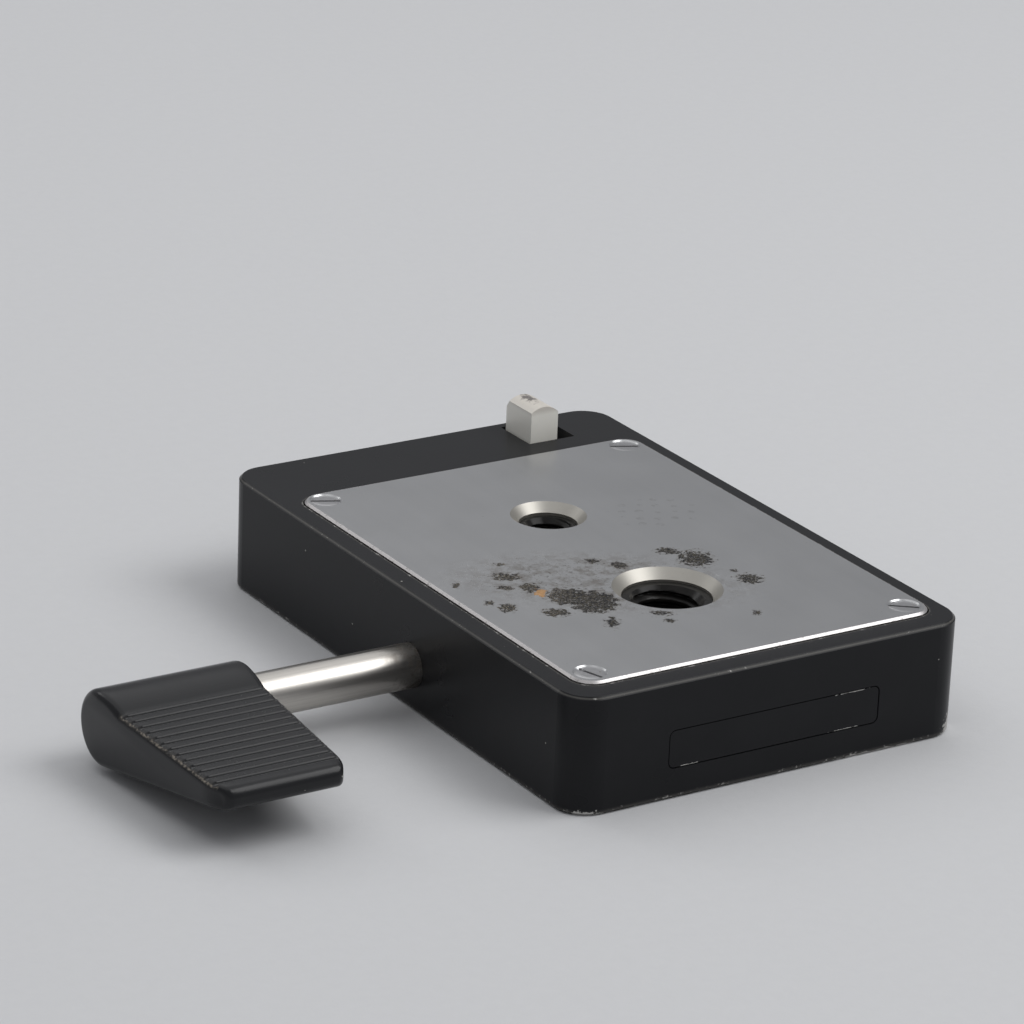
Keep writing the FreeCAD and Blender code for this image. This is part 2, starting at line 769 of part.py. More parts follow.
def cam_point(angle, reach, rate):
    """A point of the cam. The cam's reach towards the plate falls evenly with the lever's angle."""
    h = reach - rate * angle
    return Vector(
        h * math.sin(angle) - rate * math.cos(angle),
        -h * math.cos(angle) - rate * math.sin(angle),
        0,
    )


def make_lever_shaft():
    body = new_body("lever_shaft")
    section = sketch_on(body, "shaft_section", "XZ_Plane", "0", "dims.shaft_height", "-dims.shaft_place")
    thick, thin = "dims.shaft_radius", "dims.cam_shaft_radius"
    ring, ring_half = "dims.friction_ring_place", "dims.friction_ring_section + 0.05"
    ring_floor = "dims.shaft_radius + 0.03 - 2 * dims.friction_ring_section"
    closed_outline(
        section,
        (
            ("dims.shaft_outer_end", "0", (-70, 0)),
            ("dims.shaft_outer_end", thick + " - 0.4", (-70, 2.6)),
            ("dims.shaft_outer_end + 0.4", thick, (-69.6, 3)),
            ("%s - (%s)" % (ring, ring_half), thick, (-27.4, 3)),
            ("%s - (%s)" % (ring, ring_half), ring_floor, (-27.4, 2.1)),
            ("%s + (%s)" % (ring, ring_half), ring_floor, (-26.4, 2.1)),
            ("%s + (%s)" % (ring, ring_half), thick, (-26.4, 3)),
            ("-dims.cam_zone_half", thick, (-19.7, 3)),
            ("-dims.cam_zone_half", thin, (-19.7, 2.4)),
            ("dims.shaft_inner_end - 0.4", thin, (26.2, 2.4)),
            ("dims.shaft_inner_end", thin + " - 0.4", (26.6, 2)),
            ("dims.shaft_inner_end", "0", (26.6, 0)),
        ),
    )
    turned = body.newObject("PartDesign::Revolution", "shaft_turned")
    turned.Profile = section
    turned.ReferenceAxis = (section, ["H_Axis"])
    turned.Angle = 360.0
    doc.recompute()

    # The cam: the shaft's lower quarter falls away on a spiral that ends in a flat
    rate = size("cam_lift") / math.radians(size("cam_angle"))
    reach = math.sqrt(size("cam_shaft_radius") ** 2 - rate**2)
    steps = 8
    last_angle = math.radians(size("cam_angle"))
    spiral = [cam_point(last_angle * i / steps, reach, rate) for i in range(steps + 1)]
    margin = size("cam_shaft_radius") + 0.6
    relief = sketch_on(
        body, "cam_relief_outline", "YZ_Plane", "dims.shaft_place", "dims.shaft_height", "dims.cam_zone_half - 0.2"
    )
    curve = Part.BSplineCurve()
    curve.interpolate(spiral)
    relief.addGeometry(curve)
    corners = [
        spiral[-1],
        Vector(spiral[-1].x, margin, 0),
        Vector(margin, margin, 0),
        Vector(margin, -margin, 0),
        Vector(spiral[0].x, -margin, 0),
        spiral[0],
    ]
    for start, end in zip(corners, corners[1:]):
        relief.addGeometry(Part.LineSegment(start, end))
    pocket(body, relief, "cam_relief", "2 * dims.cam_zone_half - 0.4")

    # The stop groove, a part of a turn long, which limits the swing
    turn = Rotation(Vector(1, 0, 0), -size("stop_groove_lead"))
    slot = sketch_on(
        body, "stop_groove_section", "XZ_Plane", "0", "dims.shaft_height", "-dims.shaft_place", turn=turn
    )
    floor = "dims.shaft_radius - dims.stop_groove_depth"
    left = "dims.stop_groove_place - dims.stop_groove_width / 2"
    right = "dims.stop_groove_place + dims.stop_groove_width / 2"
    closed_outline(
        slot,
        (
            (left, floor, (-22, 2.1)),
            (right, floor, (-20, 2.1)),
            (right, "dims.shaft_radius + 0.5", (-20, 3.5)),
            (left, "dims.shaft_radius + 0.5", (-22, 3.5)),
        ),
    )
    before = body.Shape.Volume
    groove = body.newObject("PartDesign::Groove", "stop_groove")
    groove.Profile = slot
    groove.ReferenceAxis = (slot, ["H_Axis"])
    bind(groove, "Angle", "dims.stop_groove_angle")
    doc.recompute()
    if not body.Shape.Volume < before - 1e-3:
        raise RuntimeError("the stop groove cuts nothing")
    return body


def make_friction_ring():
    """A square-cut rubber ring that fills the shaft's ring groove and brushes the bore."""
    turn = Rotation(Vector(0, 1, 0), 90)
    outer, inner = "dims.shaft_radius + 0.03", "dims.shaft_radius + 0.03 - 2 * dims.friction_ring_section"
    start, width = "dims.friction_ring_place - dims.friction_ring_section", "2 * dims.friction_ring_section"
    place = ("dims.shaft_place", "dims.shaft_height")
    solid = cylinder("ring_solid", outer, width, start, *place, direction=turn)
    middle = cylinder("ring_middle", inner, "2 * (%s)" % width, "%s - 0.2" % start, *place, direction=turn)
    return named(cut("lever_friction_ring", solid, middle), "lever_friction_ring")


def make_lever_handle():
    body = new_body("lever_handle")
    round_radius, band = size("handle_round_radius"), size("handle_band_radius")
    reach, rise, nose = size("handle_nose_reach"), size("handle_nose_rise"), size("handle_nose_radius")
    band_end = math.asin(size("handle_band_reach") / band)
    band_corner = Vector(-size("handle_band_reach"), round_radius - band + band * math.cos(band_end), 0)
    under = math.atan2(rise, reach) + math.asin((round_radius - nose) / math.hypot(reach, rise))
    foot_angle = -math.pi / 2 - under
    nose_centre = Vector(-reach, rise, 0)
    nose_top = nose_centre + Vector(0.03, nose, 0)

    def on_circle(centre, radius, angle):
        return centre + Vector(radius * math.cos(angle), radius * math.sin(angle), 0)

    profile = sketch_on(
        body, "handle_profile", "YZ_Plane", "dims.shaft_place", "dims.shaft_height", "dims.handle_middle"
    )
    up = Vector(0, 0, 1)
    middle = Vector(0, 0, 0)
    end_round = Part.Circle(middle, up, round_radius)
    band_round = Part.Circle(Vector(0, round_radius - band, 0), up, band)
    nose_round = Part.Circle(nose_centre, up, nose)
    profile.addGeometry(Part.ArcOfCircle(end_round, foot_angle, math.pi / 2))
    profile.addGeometry(Part.ArcOfCircle(band_round, math.pi / 2, math.pi / 2 + band_end))
    profile.addGeometry(Part.LineSegment(band_corner, nose_top))
    profile.addGeometry(Part.ArcOfCircle(nose_round, math.radians(92), 2 * math.pi + foot_angle))
    profile.addGeometry(
        Part.LineSegment(on_circle(nose_centre, nose, foot_angle), on_circle(middle, round_radius, foot_angle))
    )
    profile.addConstraint(Sketcher.Constraint("Coincident", 0, 3, -1, 1))
    profile.addConstraint(Sketcher.Constraint("Tangent", 0, 2, 1, 1))
    profile.addConstraint(Sketcher.Constraint("PointOnObject", 0, 2, -2))
    profile.addConstraint(Sketcher.Constraint("Coincident", 1, 2, 2, 1))
    profile.addConstraint(Sketcher.Constraint("Tangent", 2, 2, 3, 1))
    profile.addConstraint(Sketcher.Constraint("Tangent", 3, 2, 4, 1))
    profile.addConstraint(Sketcher.Constraint("Tangent", 4, 2, 0, 1))
    constrain(profile, "dims.handle_round_radius", "Radius", 0, start=round_radius)
    constrain(profile, "dims.handle_band_radius", "Radius", 1, start=band)
    constrain(profile, "dims.handle_nose_radius", "Radius", 3, start=nose)
    constrain(profile, "dims.handle_band_reach", "DistanceX", 1, 2, -1, 1, start=-band_corner.x)
    constrain(profile, "dims.handle_nose_reach", "DistanceX", 3, 3, -1, 1, start=reach)
    constrain(profile, "dims.handle_nose_rise", "DistanceY", -1, 1, 3, 3, start=rise)
    pad(body, profile, "handle_block", "dims.handle_width", midplane=True)

    # Both ends draw in towards the nose
    ends = sketch_on(body, "end_taper_outline", "XY_Plane", "dims.handle_middle", "dims.shaft_place", "dims.body_height")
    root, tip = "dims.handle_width / 2", "dims.handle_width / 2 - dims.handle_end_taper"
    far = "-(dims.handle_nose_reach + dims.handle_nose_radius + 1)"
    for side in (1, -1):
        closed_outline(
            ends,
            (
                ("(%s) * %d" % (root, side), "0", (10.7 * side, 0)),
                ("(%s) * %d" % (tip, side), far, (8.9 * side, -30)),
                ("(%s + 3) * %d" % (root, side), far, (13.7 * side, -30)),
                ("(%s + 3) * %d" % (root, side), "0", (13.7 * side, 0)),
            ),
        )
    pocket(body, ends, "end_taper", "2 * dims.body_height")

    middle_x = size("handle_middle")

    def at_an_end(edge):
        low, high = spans(edge, "x")
        on_side = min(abs(low - middle_x), abs(high - middle_x)) > 8.0 - 1e-6
        y_low, y_high = spans(edge, "y")
        z_low, z_high = spans(edge, "z")
        return on_side and high - low < 2.0 and (y_high - y_low > 1e-3 or z_high - z_low > 1e-3)

    dress(body, "Chamfer", "end_edges", at_an_end, "dims.handle_edge_bevel")

    # The grip: grooves along X, side by side on the sloping face
    slope = math.degrees(math.atan2(band_corner.y - nose_top.y, reach - size("handle_band_reach")))
    grip = sketch_on(
        body,
        "grip_groove_section",
        "YZ_Plane",
        "dims.shaft_place - dims.handle_band_reach",
        "dims.shaft_height + %.6f" % band_corner.y,
        "dims.handle_middle",
        turn=Rotation(Vector(0, 0, 1), slope),
    )
    closed_outline(
        grip,
        (
            ("-(dims.rib_pitch - dims.rib_groove_width) / 2 - dims.rib_groove_width", "0.4", (-1.53, 0.4)),
            ("-dims.rib_pitch / 2 - 0.12", "-dims.rib_groove_depth", (-0.98, -0.6)),
            ("-dims.rib_pitch / 2 + 0.12", "-dims.rib_groove_depth", (-0.73, -0.6)),
            ("-(dims.rib_pitch - dims.rib_groove_width) / 2", "0.4", (-0.18, 0.4)),
        ),
    )
    first = pocket(body, grip, "grip_groove", "dims.handle_width + 2", midplane=True)
    rows = body.newObject("PartDesign::LinearPattern", "grip_grooves")
    rows.Originals = [first]
    rows.Direction = (grip, ["H_Axis"])
    rows.Reversed = True
    bind(rows, "Length", "dims.rib_pitch * (dims.rib_groove_count - 1)")
    bind(rows, "Occurrences", "dims.rib_groove_count")
    body.Tip = rows
    doc.recompute()

    bore = sketch_on(
        body,
        "handle_bore_outline",
        "YZ_Plane",
        "dims.shaft_place",
        "dims.shaft_height",
        "dims.handle_middle + dims.handle_width / 2",
    )
    circle_at(bore, "dims.shaft_radius")
    pocket(body, bore, "handle_bore", "dims.handle_middle + dims.handle_width / 2 - dims.shaft_outer_end")
    screw = sketch_on(
        body, "set_screw_hole_outline", "XY_Plane", "dims.handle_middle", "dims.shaft_place", "dims.shaft_height"
    )
    circle_at(screw, "dims.set_screw_radius")
    pocket(body, screw, "set_screw_hole", "dims.handle_round_radius + 1")
    return body


def make_handle_set_screw():
    blank = cylinder(
        "set_screw_blank",
        "dims.set_screw_radius",
        "dims.set_screw_length",
        "dims.handle_middle",
        "dims.shaft_place",
        "dims.shaft_height - dims.shaft_radius - dims.set_screw_length",
    )
    socket = doc.addObject("Part::Prism", "set_screw_socket")
    socket.Polygon = 6
    bind(socket, "Circumradius", "dims.set_screw_socket_radius")
    bind(socket, "Height", "dims.set_screw_length / 2 + 0.5")
    bind(socket, "Placement.Base.x", "dims.handle_middle")
    bind(socket, "Placement.Base.y", "dims.shaft_place")
    bind(socket, "Placement.Base.z", "dims.shaft_height - dims.shaft_radius - dims.set_screw_length - 0.5")
    return named(cut("handle_set_screw", blank, socket), "handle_set_screw")


def make_shaft_stop_screw():
    x, y = "dims.stop_groove_place", "dims.shaft_place"
    seat = "dims.shaft_height + dims.shaft_radius + dims.shaft_bore_clearance"
    tip = "dims.shaft_height + dims.shaft_radius - dims.stop_groove_depth + 0.15"
    shank = cylinder("stop_screw_shank", "dims.stop_screw_radius", "%s - (%s) - 0.4" % (BASE_FLOOR, seat), x, y, seat)
    dog = cylinder("stop_screw_dog", "dims.stop_dog_radius", "%s - (%s) + 0.2" % (seat, tip), x, y, tip)
    top = "%s - 0.4" % BASE_FLOOR
    slot = slot_bar(
        "stop_screw_slot",
        "2.4 * dims.stop_screw_radius",
        "dims.screw_slot_width",
        "2 * dims.screw_slot_depth",
        x,
        y,
        "%s - dims.screw_slot_depth" % top,
        30.0,
    )
    return named(cut("shaft_stop_screw", fuse("stop_screw_blank", [shank, dog]), slot), "shaft_stop_screw")


# The clamp: a plate that the cam presses on the camera's foot, and two sprung screws that lift it


def make_clamp_plate():
    body = new_body("clamp_plate")
    outline = sketch_on(body, "clamp_outline", "XY_Plane", "0", "dims.shaft_place", CLAMP_BOTTOM)
    rounded_rectangle(
        outline,
        "2 * dims.clamp_plate_half_width",
        "2 * dims.clamp_plate_half_length",
        "dims.clamp_plate_corner_radius",
    )
    pad(body, outline, "clamp", "dims.clamp_plate_thickness")
    bottom = min(v.Z for v in body.Shape.Vertexes)
    dress(body, "Chamfer", "clamp_lead_in", lambda e: max(spans(e, "z")) < bottom + 1e-6, "0.4")
    holes = sketch_on(body, "clamp_hole_outline", "XY_Plane", "0", "0", CLAMP_TOP)
    for across, along in CLAMP_SCREWS:
        circle_at(holes, "dims.clamp_screw_radius", *clamp_screw_place(across, along))
    pocket(body, holes, "clamp_holes", "dims.clamp_plate_thickness")
    return body


def make_clamp_screws():
    screws = []
    head_bottom = "(dims.clamp_spring_floor + dims.clamp_spring_length)"
    for number, (across, along) in enumerate(CLAMP_SCREWS):
        name = "clamp_screw_%d" % number
        x, y = clamp_screw_place(across, along)
        shank = cylinder(
            name + "_shank", "dims.clamp_screw_radius", "%s - %s" % (head_bottom, CLAMP_BOTTOM), x, y, CLAMP_BOTTOM
        )
        head = cylinder(
            name + "_head", "dims.clamp_screw_head_radius", "dims.clamp_screw_head_thickness", x, y, head_bottom
        )
        screws.append(fuse(name, [shank, head]))
    return group("clamp_screws", screws)


def make_clamp_springs():
    springs = []
    for number, (across, along) in enumerate(CLAMP_SCREWS):
        spring = coil_spring(
            "clamp_spring_%d" % number,
            size("clamp_spring_radius"),
            size("clamp_spring_wire_radius"),
            size("clamp_spring_turns"),
            size("clamp_spring_length"),
        )
        x, y = clamp_screw_place(across, along)
        bind(spring, "Placement.Base.x", x)
        bind(spring, "Placement.Base.y", y)
        bind(spring, "Placement.Base.z", "dims.clamp_spring_floor")
        springs.append(spring)
    return group("clamp_springs", springs)


# The safety catch: a sprung slider whose tab stands out of the tripod side


def make_catch_slider():
    body = new_body("catch_slider")
    bar = sketch_on(
        body,
        "catch_bar_outline",
        "XY_Plane",
        "(dims.catch_bar_left + dims.catch_bar_right) / 2",
        SLOT_MIDDLE,
        "dims.catch_bar_bottom",
    )
    rectangle(bar, "dims.catch_bar_right - dims.catch_bar_left", "%s - 2 * dims.catch_side_clearance" % CATCH_LENGTH)
    pad(body, bar, "catch_bar", "dims.catch_bar_top - dims.catch_bar_bottom")

    tab = sketch_on(
        body,
        "tab_outline",
        "XZ_Plane",
        "(dims.tab_left + dims.tab_right) / 2",
        "dims.tab_shoulder",
        "-dims.tab_far",
    )
    half = (size("tab_right") - size("tab_left")) / 2
    rise = size("tab_crown_rise")
    crown = (half**2 + rise**2) / (2 * rise)
    swing = math.asin(half / crown)
    depth = size("tab_shoulder") - size("catch_bar_top") + 0.5
    arc = Part.ArcOfCircle(
        Part.Circle(Vector(0, rise - crown, 0), Vector(0, 0, 1), crown), math.pi / 2 - swing, math.pi / 2 + swing
    )
    tab.addGeometry(arc)
    tab.addGeometry(Part.LineSegment(Vector(-half, 0, 0), Vector(-half, -depth, 0)))
    tab.addGeometry(Part.LineSegment(Vector(-half, -depth, 0), Vector(half, -depth, 0)))
    tab.addGeometry(Part.LineSegment(Vector(half, -depth, 0), Vector(half, 0, 0)))
    for i in range(GEOMETRY_SIDES):
        tab.addConstraint(Sketcher.Constraint("Coincident", i, 2, (i + 1) % GEOMETRY_SIDES, 1))
    for i, kind in ((1, "Vertical"), (2, "Horizontal"), (3, "Vertical")):
        tab.addConstraint(Sketcher.Constraint(kind, i))
    tab.addConstraint(Sketcher.Constraint("Symmetric", 1, 1, 3, 2, -1, 1))
    constrain(tab, "dims.tab_right - dims.tab_left", "DistanceX", 2, 1, 2, 2)
    constrain(tab, "dims.tab_shoulder - dims.catch_bar_top + 0.5", "DistanceY", 1, 2, 1, 1)
    half_formula = "((dims.tab_right - dims.tab_left) / 2)"
    crown_formula = "(%s ^ 2 + dims.tab_crown_rise ^ 2) / (2 * dims.tab_crown_rise)" % half_formula
    constrain(tab, crown_formula, "Radius", 0)
    pad(body, tab, "tab", "dims.tab_far - dims.tab_near")

    far, shoulder = size("tab_far"), size("tab_shoulder")

    def crown_back(edge):
        low, high = spans(edge, "y")
        return abs(low - far) < 1e-6 and abs(high - far) < 1e-6 and spans(edge, "z")[1] > shoulder + 0.3

    dress(body, "Chamfer", "tab_back_edge", crown_back, "dims.tab_back_bevel")

    nose = sketch_on(body, "nose_outline", "XY_Plane", "0", "0", "dims.nose_bottom")
    closed_outline(
        nose,
        (
            ("dims.nose_left", "dims.nose_near", (20.7, 36)),
            ("dims.catch_bar_right", "dims.nose_near", (23, 36)),
            ("dims.catch_bar_right", "dims.nose_far", (23, 42)),
            ("dims.catch_bar_right - 0.3", "dims.nose_far", (22.7, 42)),
            ("dims.nose_left", "dims.nose_ramp_start", (20.7, 37)),
        ),
    )
    pad(body, nose, "nose", "dims.catch_bar_bottom - dims.nose_bottom + 0.5")
    spring_bore = sketch_on(
        body, "catch_spring_bore_outline", "YZ_Plane", SLOT_MIDDLE, "dims.catch_spring_height", "dims.catch_bar_right"
    )
    circle_at(spring_bore, "dims.catch_spring_bore_radius")
    pocket(body, spring_bore, "catch_spring_bore", "dims.catch_bar_right - dims.catch_spring_seat")
    return body


def make_catch_spring():
    spring = coil_spring(
        "catch_spring",
        size("catch_spring_radius"),
        size("catch_spring_wire_radius"),
        size("catch_spring_turns"),
        size("catch_pocket_right") - size("catch_spring_seat"),
    )
    spring.Placement = Placement(Vector(0, 0, 0), Rotation(Vector(0, 1, 0), 90))
    bind(spring, "Placement.Base.x", "dims.catch_spring_seat")
    bind(spring, "Placement.Base.y", SLOT_MIDDLE)
    bind(spring, "Placement.Base.z", "dims.catch_spring_height")
    return named(spring, "catch_spring")


def make_catch_cover():
    body = new_body("catch_cover")
    outline = sketch_on(
        body,
        "cover_outline",
        "XY_Plane",
        "(dims.catch_cover_left + dims.catch_cover_right) / 2",
        SLOT_MIDDLE,
        "dims.groove_roof",
    )
    rectangle(outline, "dims.catch_cover_right - dims.catch_cover_left", "%s - 0.2" % CATCH_LENGTH)
    pad(body, outline, "cover", "dims.catch_cover_thickness")
    for along in (-1, 1):
        x, y = cover_screw_place(along)
        countersink(body, "cover_sink_%s" % "ab"[along > 0], x, y, "dims.groove_roof", *COVER_SCREW)
    return body


def make_catch_cover_screws():
    screws = []
    for along in (-1, 1):
        x, y = cover_screw_place(along)
        screws.append(sunk_screw("cover_screw_%s" % "ab"[along > 0], x, y, "dims.groove_roof", *COVER_SCREW))
    return group("catch_cover_screws", screws)


make_body_block()
make_base_plate()
make_base_plate_screws()
make_insert("large", "large_thread_insert")
make_insert("small", "small_thread_insert")
make_label_plate()
make_guide_rail(-1, "left_guide_rail")
make_guide_rail(1, "right_guide_rail")
make_guide_rail_screws()
make_lever_shaft()
make_friction_ring()
make_lever_handle()
make_handle_set_screw()
make_shaft_stop_screw()
make_clamp_plate()
make_clamp_screws()
make_clamp_springs()
make_catch_slider()
make_catch_spring()
make_catch_cover()
make_catch_cover_screws()
doc.recompute()

for thing in doc.Objects:
    if "Invalid" in thing.State or "Error" in thing.State:
        raise RuntimeError("%s did not build: %s" % (thing.Name, thing.State))
os.makedirs("parts", exist_ok=True)
for part in SUB_PARTS:
    if part.Shape.isNull() or not part.Shape.isValid():
        raise RuntimeError("%s has no sound shape" % part.Label)
    part.Shape.exportStep("parts/%s.step" % part.Label)
    box = part.Shape.BoundBox
    print(
        "%-22s solids %d  volume %9.1f  x %7.2f %7.2f  y %7.2f %7.2f  z %6.2f %6.2f"
        % (
            part.Label,
            len(part.Shape.Solids),
            part.Shape.Volume,
            box.XMin,
            box.XMax,
            box.YMin,
            box.YMax,
            box.ZMin,
            box.ZMax,
        )
    )
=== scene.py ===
"""A tripod quick release coupling: finishes, threads, screws, springs, handle and stage.

Lengths in this script are millimetres until a mesh is written, in metres, in the model's frame.
The operators make one piece or one group of like pieces each. They are listed in the sidebar panel.
"""

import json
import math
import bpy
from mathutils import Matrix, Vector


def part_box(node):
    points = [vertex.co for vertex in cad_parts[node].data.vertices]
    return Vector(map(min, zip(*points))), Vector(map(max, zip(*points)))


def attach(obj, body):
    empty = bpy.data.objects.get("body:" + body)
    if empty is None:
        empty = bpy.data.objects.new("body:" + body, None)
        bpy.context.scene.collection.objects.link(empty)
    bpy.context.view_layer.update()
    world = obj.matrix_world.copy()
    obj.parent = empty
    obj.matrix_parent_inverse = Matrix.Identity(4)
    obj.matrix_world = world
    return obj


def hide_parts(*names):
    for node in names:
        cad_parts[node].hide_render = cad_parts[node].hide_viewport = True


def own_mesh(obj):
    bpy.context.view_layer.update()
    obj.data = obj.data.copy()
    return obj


bl_info = {
    "name": "Tripod coupling",
    "version": (1, 0, 0),
    "blender": (4, 5, 0),
    "location": "3D View > Sidebar > Coupling",
    "description": "Finishes and fine pieces of a tripod quick release coupling",
    "category": "Object",
}

import bpy
from mathutils import Matrix, Vector

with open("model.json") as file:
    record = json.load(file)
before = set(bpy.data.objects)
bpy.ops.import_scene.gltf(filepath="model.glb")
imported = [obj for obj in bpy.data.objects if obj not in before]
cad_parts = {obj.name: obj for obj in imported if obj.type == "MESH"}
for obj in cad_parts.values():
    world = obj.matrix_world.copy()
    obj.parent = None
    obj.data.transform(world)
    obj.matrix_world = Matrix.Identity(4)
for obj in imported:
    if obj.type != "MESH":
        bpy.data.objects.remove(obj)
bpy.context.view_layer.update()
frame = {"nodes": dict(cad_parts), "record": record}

MM = 0.001
ROOT_BODY = "coupling"
LEVER_BODY = "lever"


# Places read from the frame


def box_mm(node):
    """The low and the high corner of a solid's box."""
    low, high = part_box(node)
    return Vector(low) / MM, Vector(high) / MM


def named(rows, name):
    """The row of the record that has this name."""
    return next(row for row in rows if row["name"] == name)


def joint(name):
    return named(frame["record"]["behaviour"]["joints"], name)


def mount_place(name):
    return Vector(named(frame["record"]["mounts"], name)["pos_m"]) / MM


SHAFT_AXIS = Vector(joint("lever_swing")["pos_m"]) / MM
LARGE_SOCKET = mount_place("tripod_socket_large")
SMALL_SOCKET = mount_place("tripod_socket_small")
BLOCK_LOW, BLOCK_HIGH = box_mm("body_block")
PLATE_LOW, PLATE_HIGH = box_mm("base_plate")
HANDLE_LOW, HANDLE_HIGH = box_mm("lever_handle")

# Corner radii of the block and of the plate on it, and radii of the plate's two windows
BLOCK_CORNER, PLATE_CORNER = 4.5, 3.0
LARGE_WINDOW, SMALL_WINDOW = 7.3, 5.2

# The springs' wire radii and turns, and the radii of the clamp's coils and screw heads
CATCH_WIRE, CLAMP_WIRE = 0.2, 0.25
CATCH_TURNS, CLAMP_TURNS = 7.5, 3.5
CLAMP_COIL, CLAMP_HEAD = 2.35, 2.4

# Screw heads: how far below the plate, slack round a head, and radii of plate and rail screws
PLATE_SCREW_SUNK, HEAD_SLACK = 0.16, 0.02
PLATE_SCREW, RAIL_SCREW = 2.2, 1.9


# Mesh helpers


def mesh_object(name, vertices, faces, smooth_below=35.0):
    """A mesh object from millimetre points, smooth where its faces meet at less than an angle."""
    mesh = bpy.data.meshes.new(name)
    mesh.from_pydata([Vector(v) * MM for v in vertices], [], faces)
    mesh.validate()
    mesh.update()
    piece = bpy.data.objects.new(name, mesh)
    bpy.context.scene.collection.objects.link(piece)
    smooth(piece, smooth_below)
    return piece


def smooth(piece, smooth_below=35.0):
    """Smooth shading, with sharp edges where faces meet at more than an angle."""
    mesh = piece.data
    mesh.polygons.foreach_set("use_smooth", [True] * len(mesh.polygons))
    mesh.set_sharp_from_angle(angle=math.radians(smooth_below))
    mesh.update()


def point_value(piece, name, values):
    """A named number on every point, which a material can read."""
    attribute = piece.data.attributes.new(name, "FLOAT", "POINT")
    attribute.data.foreach_set("value", values)


def lathe(name, profile, sides=96, smooth_below=35.0):
    """Turns (radius, height) points about Z. A radius of 0 becomes one point."""
    vertices, rings = [], []
    for radius, height in profile:
        if radius == 0:
            rings.append([len(vertices)])
            vertices.append((0, 0, height))
            continue
        rings.append(range(len(vertices), len(vertices) + sides))
        for i in range(sides):
            angle = 2 * math.pi * i / sides
            vertices.append((radius * math.cos(angle), radius * math.sin(angle), height))
    faces = []
    for lower, upper in zip(rings, rings[1:]):
        for i in range(sides):
            j = (i + 1) % sides
            if len(lower) == 1:
                faces.append((lower[0], upper[j], upper[i]))
            elif len(upper) == 1:
                faces.append((lower[i], lower[j], upper[0]))
            else:
                faces.append((lower[i], lower[j], upper[j], upper[i]))
    return mesh_object(name, vertices, faces, smooth_below)


def carve(piece, cutter, smooth_below=35.0):
    """Takes the cutter out of the piece and deletes it."""
    tool = piece.modifiers.new("carve", "BOOLEAN")
    tool.operation = "DIFFERENCE"
    tool.solver = "EXACT"
    tool.object = cutter
    bpy.context.view_layer.update()
    carved = bpy.data.meshes.new_from_object(
        piece.evaluated_get(bpy.context.evaluated_depsgraph_get())
    )
    piece.modifiers.clear()
    old = piece.data
    piece.data = carved
    bpy.data.meshes.remove(old)
    bpy.data.objects.remove(cutter)
    smooth(piece, smooth_below)


def brick(name, low, high, turn=0.0, about=(0, 0)):
    """A cutter with square corners, turned about a vertical line."""
    corners = [
        (x, y, z) for z in (low[2], high[2]) for y in (low[1], high[1]) for x in (low[0], high[0])
    ]
    c, s = math.cos(math.radians(turn)), math.sin(math.radians(turn))
    turned = [
        (
            about[0] + (x - about[0]) * c - (y - about[1]) * s,
            about[1] + (x - about[0]) * s + (y - about[1]) * c,
            z,
        )
        for x, y, z in corners
    ]
    faces = ((0, 2, 3, 1), (4, 5, 7, 6), (0, 1, 5, 4), (1, 3, 7, 5), (3, 2, 6, 7), (2, 0, 4, 6))
    return mesh_object(name, turned, faces)


def finish_piece(piece, material, body, slot, *nodes):
    """Gives a made piece its finish and its body, and hides the solids that it stands for. The slot
    argument is not used.
    """
    piece.data.materials.clear()
    piece.data.materials.append(material)
    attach(piece, body)
    if nodes:
        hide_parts(*nodes)


def dress_node(node, material, edge=0.0, segments=2):
    """A solid of the frame keeps its mesh. It gets a finish and, where asked, broken edges."""
    solid = frame["nodes"][node]
    for slot in solid.material_slots:
        slot.material = material
    if not solid.material_slots:
        solid.data.materials.append(material)
    if edge > 0:
        bevel = solid.modifiers.new("broken_edges", "BEVEL")
        bevel.width = edge * MM
        bevel.segments = segments
        bevel.limit_method = "ANGLE"
        bevel.angle_limit = math.radians(32)
        bevel.harden_normals = True
        bevel.use_clamp_overlap = True
    return solid


# Node helpers


